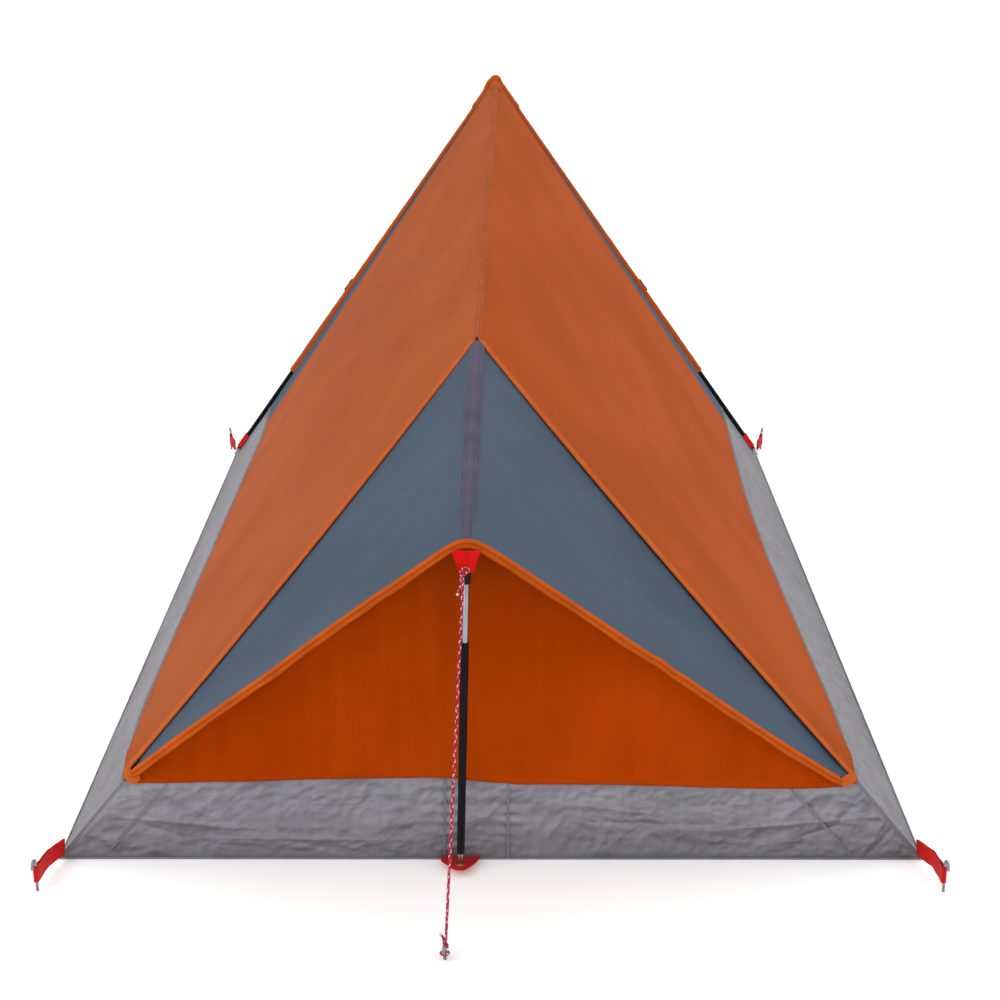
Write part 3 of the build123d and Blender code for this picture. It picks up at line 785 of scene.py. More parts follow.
# ------------------------------------------------------------- shared outlines
# Upper edge of each side band: stations along Y, half width there.
SEAM_STATIONS = {
    1: ([-965, -836, -696, -542, -372, -183, 26, 262, 528, 674, 806, 944],
        [508, 511, 510, 508, 505, 500, 496, 499, 506, 512, 514, 520]),
    -1: ([-965, -902, -837, -696, -542, -372, -184, 27, 262, 528, 799, 944],
         [509, 516, 519, 523, 522, 521, 519, 517, 514, 512, 513, 520]),
}
SEAM_CURVES = {sign: np.polyfit(np.array(y) / 1000, half, 5)
               for sign, (y, half) in SEAM_STATIONS.items()}

# Eave: x, rise above the straight lines from its ends to its top.
EAVE_RISE = np.array([
    [-511, 6], [-470, 7.6], [-412, 9.4], [-383, 9.9], [-298, 11.2], [-250, 13.3],
    [-187, 15.2], [-120, 14.6], [-79, 14.2], [-31, 14.5], [10, 13.4], [40, 11.6],
    [69, 10.0], [98, 8.0], [188, 2.5], [248, -0.6], [279, -3.1], [341, -8.0],
    [372, -10.2], [435, -12.3], [467, -12.8], [511, -9.0]])

# Lower edge of the rear wall, where it laps over the band: x, z.
WALL_EDGE = np.array([
    [-520, 118.5], [-501, 118.9], [-418, 120.3], [-334, 122.0], [-250, 125.0],
    [-167, 126.8], [-84, 128.0], [-50, 127.5], [-30, 124.0], [0, 120.9],
    [41, 117.6], [83, 117.9], [166, 117.6], [208, 116.5], [291, 113.5],
    [350, 112.0], [416, 111.0], [460, 112.6], [500, 116.0], [525, 118.0]])


def seam_x(sign, y):
    return sign * np.polyval(SEAM_CURVES[sign], np.asarray(y, float) / 1000)


def seam_z(sign, y):
    """The seam on top of the band wanders a few millimetres."""
    y = np.asarray(y, float)
    return 123.0 + 2.0 * noise(y / 210.0, 0.3 * sign, 5) * smooth(0, 60, FLOOR_END - np.abs(y))


def eave_curve():
    """Stations along the eave and their heights, averaged so that the corners are round."""
    x = np.linspace(-560, 560, 561)
    end_x, _, end_z = EAVE_END
    top_x, _, top_z = EAVE_TOP
    left = end_z + (top_z - end_z) * (x + end_x) / (end_x + top_x)
    right = end_z + (top_z - end_z) * (end_x - x) / (end_x - top_x)
    z = np.where(x < top_x, left, right) + np.interp(x, *EAVE_RISE.T)
    weight = np.exp(-0.5 * ((x[:, None] - x[None]) / 18.0) ** 2)
    return x, (weight @ z) / weight.sum(1)


EAVE_CURVE = eave_curve()


def eave_z(x):
    return np.interp(x, *EAVE_CURVE)


def eave(x, dy, dz):
    z = eave_z(x)
    lean = (EAVE_END[1] - EAVE_TOP[1]) / (EAVE_TOP[2] - EAVE_END[2])
    return pack(x, EAVE_END[1] - (z - EAVE_END[2]) * lean + dy, z + dz)


def wall_z(x):
    return np.interp(x, *WALL_EDGE.T)


# --------------------------------------------------------------- side panels
def side_panel(side, sign):
    """Orange side, from the band up to the ridge; returns its face and undented normals."""
    u, v = span(430), span(88)
    v = v - 0.055 * np.sin(2 * PI * v)   # more rows near the seams
    y = PANEL_FOOT[1] + PANEL_LENGTH * u
    low = pack(seam_x(sign, y), y, seam_z(sign, y) + 1)
    from_rear = y - PANEL_FOOT[1]
    corner = smooth(45, 0, from_rear)
    low[:, 0] += sign * ((2.0 if sign < 0 else 0.5) * corner + 4.5 * bell(from_rear, 78, 48))
    low[:, 2] += (4.0 if sign < 0 else -1.0) * corner
    rear_top, front_top = V_POINT + RIGHT * sign * 1.2, RIDGE_FRONT + RIGHT * sign * 1.5
    top = lerp(rear_top, front_top, u)
    top[:, 2] -= 5 * bow(u)
    rear = lerp(low[0], rear_top, v)
    rear[:, 0] -= sign * 7.0 * bow(v)
    front = lerp(low[-1], front_top, v)

    # patch spanned by the four edges
    along, up = u[:, None, None], v[None, :, None]
    face = (1 - up) * low[:, None] + up * top[:, None]
    face += (1 - along) * rear[None] + along * front[None]
    face -= (1 - along) * (1 - up) * low[0] + along * (1 - up) * low[-1]
    face -= (1 - along) * up * top[0] + along * up * top[-1]
    normals = normals_towards(face, UP)
    mean = normals.reshape(-1, 3).mean(0)

    along, up = u[:, None], v[None, :]
    axes = unit(RIDGE_FRONT - V_POINT)
    axes = axes, unit(np.cross(mean, axes))
    a, b = face @ axes[0], face @ axes[1]
    pull = unit(RIDGE_FRONT - low[0])    # tension folds run from rear foot to front peak
    fold_a, fold_b = face @ pull, face @ unit(np.cross(mean, pull))
    height = np.linalg.norm(top - low, axis=1)[:, None]
    d_low, d_top = up * height, (1 - up) * height
    d_rear, d_front = along * 1500, (1 - along) * 900

    open_area = bow(along) ** 0.7 * bow(up) ** 0.8
    long_folds = (2.6 * noise(fold_a / 520, fold_b / 95, 11 + sign)
                  + 1.1 * noise(fold_a / 210, fold_b / 40, 13 + sign))
    small = (0.42 * noise(a / 60, b / 60, 17 + sign) + 0.5 * folds(a / 210, b / 150, 19 + sign, 2)
             + 0.12 * noise(a / 17, b / 17, 23 + sign))
    relief = open_area * (long_folds - 9.0) + cap1(open_area * 3) * small
    # seam puckers
    inner = cap1(d_rear / 20) * cap1(d_front / 20)
    relief += inner * edge_fade(d_low, 15) * 0.9 * wave(a, 17, 31 + sign) * cap1(d_low / 4)
    relief += (edge_fade(np.abs(d_rear - 12), 10) * 0.45 * wave(b, 13, 33 + sign)
               * cap1(d_rear / 4))
    relief += inner * edge_fade(d_top, 12) * 0.6 * wave(a, 15, 35 + sign) * cap1(d_top / 4)
    face = face + normals * relief[..., None]

    tone = 1 - 0.10 * edge_fade(d_low, 5) - 0.06 * edge_fade(d_top, 5)
    tone = tone * (1 + 0.07 * noise(fold_a / 260, fold_b / 120, 41 + sign)
                   + 0.05 * smooth(0.5, 0.0, up))
    build(f"side_panel_{side}_fabric", sheet(face, 0.9, UP, tone=tone, axes=axes, under=1),
          [ORANGE_L_PAINTED_SHEEN if sign < 0 else ORANGE_R, ORANGE_IN], f"side_panel_{side}")
    return face, normals


PANELS = both(side_panel)

# Hem section: across the hem from its free edge inwards, and height.
HEM_PROFILE = np.array([
    (-1.4, -1.6), (-1.7, -0.4), (-1.2, 0.7), (0.4, 1.35), (3.0, 1.45), (6.0, 1.0),
    (9.0, 1.25), (11.2, 1.15), (12.4, 0.5), (12.6, -0.5), (11.8, -0.9), (3, -1.0)])


def v_hem(side, sign):
    """Hem on the sloping rear edge of a side panel; returns path, inward way and normals."""
    face, normals = PANELS[sign]
    edge = face[0]
    path = resample(edge, 5.0)
    heading = tangents(path)
    stops = np.arange(len(edge))
    at = np.linspace(0, len(edge) - 1, len(path))
    inward = interp_cols(at, stops, face[4] - edge)
    inward = unit(inward - (inward * heading).sum(-1, keepdims=True) * heading)
    normal = unit(interp_cols(at, stops, normals[0]))
    hand = np.sign((np.cross(heading, normal) * inward).sum(-1).mean())
    dist = dist_along(path)
    prof = np.repeat(HEM_PROFILE[None], len(path), 0)
    prof[..., 0] *= hand
    prof[:, 2:9, 1] += (0.35 * noise(dist / 8.0, 0.4 * sign, 61))[:, None]
    prof[:, 7:10, 0] += hand * (0.7 * noise(dist / 26.0, 1.4 * sign, 63))[:, None]
    keep = slice(2, len(path) - 1)
    hem = sweep(path[keep], prof[keep], normal[keep],
                tone=1 + 0.10 * noise(dist[keep] / 30, 2.0 * sign, 65))
    rows = [stitches(path[keep] + inward[keep] * offset + normal[keep] * 1.25, normal[keep],
                     HEM_ROW) for offset in (3.0, 9.6)]
    build(f"v_hem_{side}", hem, HEM)
    build(f"v_hem_{side}_stitching", rows, THREAD_D)
    return path, inward, normal


HEMS = both(v_hem)

# ------------------------------------------------------------ rear roof (grey)
ROOF_TOP = V_POINT - vec(0, 0, 2.6)
ROOF_EAVE = eave(EAVE_TOP[0], 2.0, -1.6)


def rear_roof(side, sign):
    """Half of the rear roof: from the V hem (v = 0) to the eave (v = 1)."""
    u, v = span(190), span(110)
    path, inward, normal = HEMS[sign]
    corner = vec(sign * 506, -966.5, 121.5)
    high = resample(path + inward * 9.0 - normal * (1.3 if sign < 0 else 2.6), count=190)
    high[0] = corner
    # the first 14 stations ease into a straight run from the corner
    step = np.arange(190)
    ease = smooth(0, 14, step)[:, None]
    straight = lerp(corner, high[14], step / 14.0)
    high = corner + (high - corner) * ease + (straight - corner) * (1 - ease)
    high[-1] = ROOF_TOP
    low = eave(corner[0] + (EAVE_TOP[0] - corner[0]) * u, 2.0, -1.6)
    low[:, 2] -= (low[0, 2] - corner[2]) * bell(u, 0, 0.035)
    low[0] = corner
    along, down = u[:, None, None], v[None, :, None]
    face = (1 - down) * high[:, None] + down * low[:, None]
    # the last column runs down the centre seam
    centre = lerp(ROOF_TOP, ROOF_EAVE, v)
    centre[:, 2] -= 2.5 * np.sin(PI * v)
    face = face + along ** 3 * (centre[None] - ((1 - down) * high[-1] + down * low[-1]))
    normals = normals_towards(face, UP)

    along, down = u[:, None], v[None, :]
    first = unit(ROOF_EAVE - corner)
    mean = unit(normals[190 // 3:].reshape(-1, 3).mean(0))
    axes = first, unit(np.cross(mean, first))
    a, b = face @ axes[0], face @ axes[1]
    fan = down * 6.0                     # folds fan out from the corner
    open_area = bow(down) ** 0.8 * cap1((1 - along) * 3.2) ** 0.8 * along ** 0.5
    relief = open_area * (-7.0 + 1.5 * noise(fan * 1.3, along * 1.6, 71 + sign) * along
                          + 0.8 * noise(fan * 3.1, along * 2.6, 73 + sign) * along)
    relief += cap1(open_area * 3) * (0.35 * noise(a / 45, b / 45, 75 + sign)
                                     + 0.4 * folds(a / 170, b / 120, 77 + sign, 2)
                                     + 0.10 * noise(a / 15, b / 15, 79 + sign))
    d_seam = (1 - along) * 480
    relief += (edge_fade(np.abs(d_seam - 16), 12) * 0.5 * wave(b, 14, 81 + sign)
               * cap1(d_seam / 8) * cap1(8 * down * (1 - down)))
    d_eave = (1 - down) * 200 * along
    relief += (edge_fade(np.abs(d_eave - 9), 9) * 0.4 * wave(a, 13, 83 + sign)
               * cap1(d_eave / 6) * cap1((1 - along) * 20))
    face = face + normals * relief[..., None]
    rim = np.linalg.norm(face - face[:, :1], axis=-1)
    shadow = 0.06 if sign < 0 else 0.60  # beside the hem
    tone = (1 + 0.07 * noise(a / 150, b / 110, 85 + sign)
            - shadow * edge_fade(rim - 5.5, 2.6) * cap1(along * 6) - 0.10 * edge_fade(rim, 14.0))
    build(f"rear_roof_{side}_fabric", sheet(face, 0.8, UP, tone=tone, axes=axes, under=1),
          [GREY, GREY_IN], f"rear_roof_{side}", weld=True)


both(rear_roof)


# ------------------------------------------------------------------ ridge seams
def fall(sign, end):
    """How far the plane of a foot corner, the V point and end falls per mm off the ridge."""
    corner = PANEL_FOOT * vec(sign, 1, 1)
    normal = np.cross(V_POINT - corner, end - corner)
    return sign * normal[0] / normal[2]


def felled_seam(path, widths, slopes, thick, phase, mottle, offsets, rise, row, lift=0.25,
                lean=0.0):
    """Seam astride a ridge. widths and slopes are (left, right), mottle is the tone's
    (amount, period, seed), offsets place the stitch rows; returns seam and rows."""
    path = resample(path, 5.0)
    dist = dist_along(path)
    left, right = widths
    x = np.array([-left, -left * 0.82, -left * 0.45, -left * 0.12, 0,
                  right * 0.12, right * 0.45, right * 0.82, right])
    z = np.where(x < 0, x * slopes[0], -x * slopes[1]) + 1.5
    top = pack(x, z + thick * np.array([0.1, 0.85, 0.8, 0.9, 0.9, 0.9, 0.8, 0.85, 0.1]))
    low = pack(x, z - thick)[::-1]
    prof = np.repeat(np.concatenate([top, low])[None], len(path), 0)
    for c in range(1, 8):
        prof[:, c, 1] += 0.25 * noise(dist / 9.0, c * 0.31 + phase, 91)
    prof[:, [0, 17], 0] += (0.5 * noise(dist / 30.0, phase + 0.2, 93))[:, None]
    prof[:, [8, 9], 0] += (0.5 * noise(dist / 33.0, phase + 0.7, 94))[:, None]
    heading = tangents(path)
    across = np.cross(heading, UP)
    flip = np.sign(across[0, 0])
    across = across * flip
    above = unit(UP - (heading @ UP)[:, None] * heading)
    prof[..., 0] *= flip
    amount, period, seed = mottle
    seam = sweep(path, prof, UP, tone=1 + amount * noise(dist / period, 0.2, seed))
    rows = []
    for offset in offsets:
        drop = offset * slopes[0] if offset < 0 else -offset * slopes[1]
        rows.append(stitches(path + across * offset + above * (drop + rise),
                             unit(above + across * np.sign(offset) * lean), row, lift))
    return seam, rows


def rear_roof_seam():
    """Broad felled seam down the middle of the rear roof, with four stitch rows."""
    centre = lerp(ROOF_TOP + vec(0, -6, -1.6), ROOF_EAVE, span(60))
    centre[:, 2] -= 2.5 * np.sin(PI * span(60))
    slopes = fall(-1, EAVE_TOP) * 0.7, fall(1, EAVE_TOP) * 0.7
    seam, rows = felled_seam(centre, widths=(12.5, 12.5), slopes=slopes, thick=1.0, phase=1,
                             mottle=(0.16, 40, 95), offsets=(-10.8, -6.2, 5.8, 10.6), rise=2.5,
                             row=CENTRE_ROW, lift=0.35)
    build("rear_roof_centre_seam", seam, SEAM_TAPE)
    build("rear_roof_centre_stitching", rows, THREAD_G)


def ridge_seam():
    """Seam between the two orange panels."""
    u = span(90)
    ridge = lerp(V_POINT + vec(0, 4, 0.2), RIDGE_FRONT + vec(0, -22, -4.6), u)
    ridge[:, 2] -= 5 * bow(u)
    slopes = fall(-1, RIDGE_FRONT), fall(1, RIDGE_FRONT)
    seam, rows = felled_seam(ridge, widths=(4.8, 6.4), slopes=slopes, thick=0.8, phase=2,
                             mottle=(0.12, 30, 96), offsets=(-3.0, 3.0), rise=2.3,
                             row=FOLD_ROW, lean=0.8)
    build("ridge_seam", seam, ORANGE_L_PAINTED_SHEEN)
    build("ridge_seam_stitching", rows, THREAD_D)


def ridge_tape():
    """Reinforcing tape under the whole ridge."""
    prof = [(-6, -3.6), (-5.8, -2.6), (-1.2, 0.4), (1.2, 0.4), (5.8, -2.6), (6, -3.6),
            (1.2, -0.8), (-1.2, -0.8)]
    tape = []
    for start, end in ((RIDGE_FRONT + vec(0, -30, -9.5), V_POINT + vec(0, 8, -9.5)),
                       (V_POINT + vec(0, -8, -9.5), EAVE_TOP + vec(0, 20, -10))):
        path = resample([start, end], 12)
        path[:, 2] -= 5 * np.sin(PI * span(len(path)))
        tape.append(sweep(path, prof, UP))
    build("ridge_tape_webbing", tape, ORANGE_IN, "ridge_tape")


rear_roof_seam()
ridge_seam()
ridge_tape()


# ------------------------------------------------------------------ rear wall
def rear_wall():
    u, v = span(250), span(100)
    x = -503.0 + 1010.0 * u
    low = wall_z(x) + 1.5
    high = np.maximum(eave_z(x) - 8.0, low + 3.0)
    z = low[:, None] * (1 - v)[None] + high[:, None] * v[None]
    x = x[:, None] + 0 * v[None]
    u, v = u[:, None], v[None]
    fade = cap1((1 - v) * 6) * cap1(v * 5) * cap1(9 * u * (1 - u))
    relief = fade * (-7.0 * bow(u) * np.sin(PI * v) ** 0.8 + 2.2 * noise(x / 60, z / 420, 101)
                     + 0.9 * noise(x / 24, z / 200, 103) + 0.5 * folds(x / 120, z / 110, 105, 2)
                     + 0.15 * noise(x / 16, z / 16, 107))
    relief += 0.6 * edge_fade(z - 118, 12) * wave(x, 16, 109) * cap1((z - 117) / 5)
    relief += 4.4 * smooth(30, 3, z - low[:, None])
    face = pack(x, np.maximum(-960.8 - relief, -965.4), z)
    # painted shade under the eave, darkest near the top of the wall by the pole
    from_top = np.hypot((x - EAVE_TOP[0]) * 0.45, z - 470)
    tone = (1 + 0.06 * noise(x / 130, z / 160, 111) - 0.30 * np.exp(-from_top / 150)
            + 0.05 * noise(x / 18, z / 260, 113))
    build("rear_wall_fabric", sheet(face, 0.8, REARWARD, tone=tone, axes=WALL_AXES, under=1),
          [ORANGE_W_PAINTED_SHADE, ORANGE_IN], "rear_wall", weld=True)


def eave_binding():
    """Folded binding along the eave, between roof and wall."""
    path = resample(eave(np.linspace(-501, 491, 1400), -1.2, -2.0), 3.0)
    # small kink where the fold was stitched twice
    path[:, 2] += 1.6 * bell(path[:, 0], 232, 10) - 1.2 * bell(path[:, 0], 232 + 16, 9)
    dist = dist_along(path)
    path[:, 2] += 0.8 * noise(dist / 70, 0.3, 121)
    roofward, above_roof = vec(-0.983, 0.184), vec(0.184, 0.983)
    base = [roofward * a + above_roof * b
            for a, b in ((3.6, 0.1), (3.8, 1.3), (2.2, 1.9), (0.6, 2.0))]
    base += [(1.4, 0.9), (2.0, -0.8), (2.0, -2.8), (2.5, -3.7), (2.3, -5.6), (2.7, -7.6),
             (2.4, -9.2), (1.4, -9.8), (0.6, -9.0), (0.5, -6.5), (0.3, -2.0), (-0.6, -0.9)]
    prof = np.repeat(np.array(base)[None], len(path), 0)
    for c in range(2, 12):
        prof[:, c, 0] += (0.32 * noise(dist / 7.5, c * 0.27, 123)
                          + 0.25 * noise(dist / 33, c * 0.2, 124))
    # both ends taper away
    ends = np.minimum(cap1((dist + 1.0) / 11.0), cap1((dist[-1] - dist + 1.0) / 11.0)) ** 0.6
    prof = prof * ends[:, None, None] - pack(0, 3.5 * (1 - ends))[:, None, :]
    prof[:, 9:13, 1] += (0.9 * noise(dist / 40.0, 0.6, 125)
                         + 0.35 * noise(dist / 9.0, 0.9, 126))[:, None]
    _, out, above = frames(path, UP)
    hand = np.sign(-out[len(path) // 2, 1])
    prof[..., 0] *= hand
    out = out * hand
    tone = np.repeat((1 + 0.12 * noise(dist / 34, 0.2, 127))[:, None], len(base), 1)
    # painted shade in the groove of the fold and along its turned-under lower edge
    tone[:, 6] *= 0.72
    tone[:, 7] *= 0.80
    tone[:, 10:12] *= 0.62
    rows = [stitches(path + out * a + above * b, out, FOLD_ROW)
            for a, b in ((2.1, -1.9), (2.6, -7.2))]
    build("eave_binding_fold", sweep(path, prof, UP, tone=tone), BINDING,
          "eave_binding")
    build("eave_binding_stitching", rows, THREAD_D)


# Patches where V hem and binding run into one another: outline x, z.
PATCHES = {
    -1: [(-503, 144), (-508, 139), (-510, 132), (-505.5, 124.5), (-499, 119.8),
         (-492, 119.0), (-486, 126), (-485, 130), (-494, 137)],
    1: [(502, 138), (508, 133.5), (510, 127.5), (504, 121), (496, 117.2),
        (489, 115.8), (482, 120), (480, 123), (490, 130)],
}


def corner_patch(side, sign):
    """Small patch turned under at the end of the eave, domed towards the rear."""
    ring = np.array(PATCHES[sign], float)
    ring = np.concatenate([ring, ring[:1]])
    ring = interp_cols(np.linspace(0, len(ring) - 1, 61)[:-1], np.arange(len(ring)), ring)
    for _ in range(6):
        ring = 0.5 * ring + 0.25 * (np.roll(ring, 1, 0) + np.roll(ring, -1, 0))
    middle = ring.mean(0)
    count = len(ring)
    layers = []
    # layers: y, size of the outline there
    for y, size in ((-964.6, 0.97), (-968.4, 1.0), (-969.3, 0.985), (-969.9, 0.93),
                    (-970.1, 0.6), (-970.2, 0.0)):
        x, z = (middle + (ring - middle) * size).T
        layers.append(pack(x, y + 0.25 * noise(x / 9, z / 9, 131), z))
    points = np.concatenate(layers)
    quads = ring_quads(len(layers), count)[0]
    cap = np.arange(count)[::-1][None]
    uv = [points[quads][..., [0, 2]] * MM, np.zeros((1, count, 2))]
    build(f"corner_patch_{side}", geo(points, [quads, cap], uv), HEM, weld=True)


rear_wall()
eave_binding()
both(corner_patch)


# ------------------------------------------------- groundsheet and its band
def line_coords(x, y, start, end):
    """Share of the way along a line, and distance from it."""
    start, end = np.asarray(start, float), np.asarray(end, float)
    length = np.linalg.norm(end - start)
    way = (end - start) / length
    dx, dy = x - start[0], y - start[1]
    return (dx * way[0] + dy * way[1]) / length, np.abs(-dx * way[1] + dy * way[0])


def creases(x, y, table):
    """Pressed folds (start, end, height, width), sharp along the line, fading at the ends."""
    total = 0.0
    for start, end, height, width in table:
        share, dist = line_coords(x, y, start, end)
        inside = (share > -0.05) * (share < 1.05)
        total = total + height * np.exp(-dist / width) * np.clip(bow(share) + 0.15, 0, 1) * inside
    return total


def crumple(a, b, seed, amount=1.0):
    return amount * (2.0 * folds(a / 120, b / 70, seed, 3)
                     + 0.9 * folds(a / 46, b / 34, seed + 3, 2)
                     + 0.3 * noise(a / 13, b / 13, seed + 5))


def painted_fold_light(face, flat, light, amount):
    """Painted light and shade on folds: faces turned towards the light are painted paler, faces
    turned away painted darker.
    """
    before, after = grid_normals(flat), grid_normals(face)
    if (before * after).sum(-1).mean() < 0:
        after = -after
    light = unit(light)
    sign = 1.0 if (before @ light).mean() > 0 else -1.0
    return np.clip(amount * ((after - before) @ light) * sign, -0.34, 0.22)


def welt(parts, rows, points, width, thick, phase, out, offsets=(), lift=1.1, row=CLOTH_ROW):
    """Adds a flat seam strip along points, and stitch rows at offsets across it."""
    path = resample(points, 4.0)
    dist = dist_along(path)
    half = width / 2
    prof = np.array([(-half, -0.4), (-half * 0.95, 0.5), (-half * 0.5, thick),
                     (0, thick * 1.15), (half * 0.5, thick), (half * 0.95, 0.5),
                     (half, -0.4), (0, -0.6)])
    prof = np.repeat(prof[None], len(path), 0)
    prof[:, 1:6, 1] += (0.3 * noise(dist / 8, phase + 0.3, 231))[:, None]
    _, across, above = frames(path, out)
    parts.append(sweep(path, prof, out, tone=1 + 0.08 * noise(dist / 20, phase + 0.6, 233)))
    for offset in offsets:
        rows.append(stitches(path + across * offset + above * lift, above, row))


# Creases of the rear band: start (x, z), end (x, z), height, width.
REAR_CREASES = [((-420, 34), (-110, 30), 1.2, 5), ((120, 60), (380, 52), -1.1, 6),
                ((60, 92), (250, 70), 1.0, 6)]
for s in (-1, 1):
    REAR_CREASES += [((s * 470, 112), (s * 402, 62), 1.2, 6),
                     ((s * 556, 70), (s * 300, 44), 1.6, 5),
                     ((s * 540, 96), (s * 575, 30), 1.8, 4),
                     ((s * 500, 60), (s * 420, 30), -1.6, 5)]

# Dark lines on it, painted shade along creases and dark lines along the corner seams: start (x, z),
# end (x, z), depth of tone, width.
REAR_DARK = [
    ((-476, 114), (-396, 64), 0.26, 2.8), ((-488, 112), (-470, 98), 0.2, 2.4),
    ((-536, 60), (-505, 44), 0.15, 3.0), ((-446, 121), (-541, 2), 0.34, 1.4),
    ((424, 112), (512, 3), 0.34, 1.4), ((508, 92), (470, 48), 0.14, 3.0),
    ((500, 110), (600, 20), 0.10, 12.0)]
REAR_SEAMS = [(-65.0, -63.0), (24.0, 25.0)]        # x at the foot, x at the top
REAR_DIAGONALS = [(-449, -541), (412, 506)]        # x at the top, x at the foot

# Creases of the long sides: start (y, height), end (y, height), height of fold, width.
SIDE_CREASES = [
    ((-930, 20), (-760, 110), 2.2, 5), ((-900, 90), (-640, 60), -1.8, 6),
    ((-300, 30), (-80, 120), 1.4, 7), ((250, 110), (430, 20), 1.4, 7),
    ((900, 20), (760, 110), 1.8, 6)]


def rear_band_face():
    """Outer face of the rear band and its tone."""
    v = span(78)
    half = BAND_FOOT_X - (BAND_FOOT_X - BAND_TOP_X) * v
    x = (2 * span(600) - 1)[:, None] * half[None]
    z = 0.8 + (wall_z(x) + 3.5 - 0.8) * v[None, :]
    y = -FLOOR_END + 0.4
    fade = cap1((half[None] - np.abs(x)) / 10) * cap1(v * 9)[None] * cap1((1 - v) * 9)[None]
    off = np.abs(x)
    relief = crumple(x, z, 201) - 0.6
    relief += smooth(380, 560, off) * 1.8 * folds((off - 0.6 * z) / 42, z / 90, 211, 2)
    relief += creases(x, z, REAR_CREASES)
    d_seams = [np.abs(x - (foot + (top - foot) * v[None])) for foot, top in REAR_SEAMS]
    for d_seam in d_seams:
        relief += edge_fade(d_seam, 16) * (0.9 * wave(z, 19, 221) + 0.6)
    face = pack(x, np.maximum(y - fade * relief, -970.5), z)

    # Colour darker along the foot; painted light and shade on the folds; painted shade on the right
    # half, away from the key light; also darker towards the ground and below the soft crease at
    # about 50 mm.
    tone = 1 + 0.05 * noise(x / 90, z / 60, 223) - 0.10 * edge_fade(z - 1, 6)
    tone += painted_fold_light(face, pack(x, y, z), light=vec(-0.45, -0.35, 0.8), amount=1.9)
    tone -= 0.05 * smooth(-60, 60, x) + 0.09 * smooth(24, 2, z)
    tone -= 0.10 * smooth(58, 46, z + 5 * noise(x / 80, 0.2, 224))
    tone += 0.035 * noise(x / 7.5, z / 60, 226) * smooth(60, 118, z)
    # painted shade along creases and dark lines along the corner seams
    for start, end, depth, width in REAR_DARK:
        share, dist = line_coords(x, z, start, end)
        tone -= (depth * np.exp(-dist / width)
                 * smooth(-0.04, 0.1, share) * smooth(1.04, 0.8, share))
    for d_seam in d_seams:
        # light and dark stripes painted beside each seam for its puckers, and a dark line along the
        # seam
        tone += 0.06 * edge_fade(d_seam, 14) * wave(z, 9, 228) - 0.34 * edge_fade(d_seam, 2.2)
    return face, tone


def on_grid(face, u, v):
    """Points of a face at shares u, v of its grid."""
    n, m = face.shape[:2]
    i = np.clip(u * (n - 1), 0, n - 1.001)
    j = np.clip(v * (m - 1), 0, m - 1.001)
    i0, j0 = i.astype(int), j.astype(int)
    fi, fj = (i - i0)[..., None], (j - j0)[..., None]
    low = face[i0, j0] * (1 - fi) + face[i0 + 1, j0] * fi
    high = face[i0, j0 + 1] * (1 - fi) + face[i0 + 1, j0 + 1] * fi
    return low * (1 - fj) + high * fj


def rear_band():
    face, tone = rear_band_face()

    def just_outside(x, z):
        v = np.clip((z - 0.8) / (wall_z(x) + 3.5 - 0.8), 0, 1)
        u = (x / (BAND_FOOT_X - (BAND_FOOT_X - BAND_TOP_X) * v) + 1) / 2
        return on_grid(face, u, v) + vec(0, -0.5, 0)

    parts, rows = [sheet(face, 0.7, REARWARD, tone=tone, axes=WALL_AXES)], []
    z = np.linspace(1.5, 121, 60)
    for foot, top in REAR_SEAMS:
        line = just_outside(foot + (top - foot) * (z / 121), z)
        welt(parts, rows, line, 3.4, 0.5, foot, REARWARD, (0,), lift=0.7, row=SEAM_ROW)
    t = span(70)
    for top, foot in REAR_DIAGONALS:
        line = just_outside(top + (foot - top) * t, 117 - 108 * t)
        welt(parts, rows, line, 3.6, 0.5, top, REARWARD, (0,), row=BAND_ROW)
    # welt along the ground
    line = pack(np.linspace(-606, 606, 300), -FLOOR_END - 0.2, 2.0)
    welt(parts, rows, line, 2.8, 0.6, 4, REARWARD)
    build("rear_band_tarpaulin", parts, BAND, "band_rear")
    build("rear_band_stitching", rows, THREAD_B)


def rear_wall_hem():
    """Turned lower edge of the wall, lapped over the band."""
    x = np.linspace(-495, 492, 420)[:, None]
    t = span(12)[None]
    z = wall_z(x) + 16.0 * t + 0.5 * noise(x / 17, 0.4, 236) * (1 - t)
    z = np.minimum(z, (eave_z(x) - 9.0) + 3.0 * t)
    y = (-FLOOR_END - 1.4 - 0.5 * wave(x, 15, 237) * (0.25 + 0.75 * np.sin(PI * t))
         + 7.0 * smooth(0.3, 1.0, t))
    face = pack(x, y, z)
    # painted shadow: a dark line along the lower edge where the hem laps over the band; painted
    # light and shade for small pleats
    pleat = noise(x / 5.5, 0.1, 238) * bell(t, 0.25, 0.35)
    tone = 1.0 - 0.28 * bell(t, 0, 0.07) + 0.07 * pleat + 0.04 * noise(x / 24, 0.1, 239)
    build("rear_wall_lower_hem", sheet(face, 0.7, REARWARD, tone=tone, axes=WALL_AXES),
          ORANGE_W_PAINTED_SHADE)
    row = stitches(face[:, 2] + vec(0, -0.35, 0), REARWARD, LAP_ROW)
    build("rear_wall_lower_stitching", row, THREAD_D)


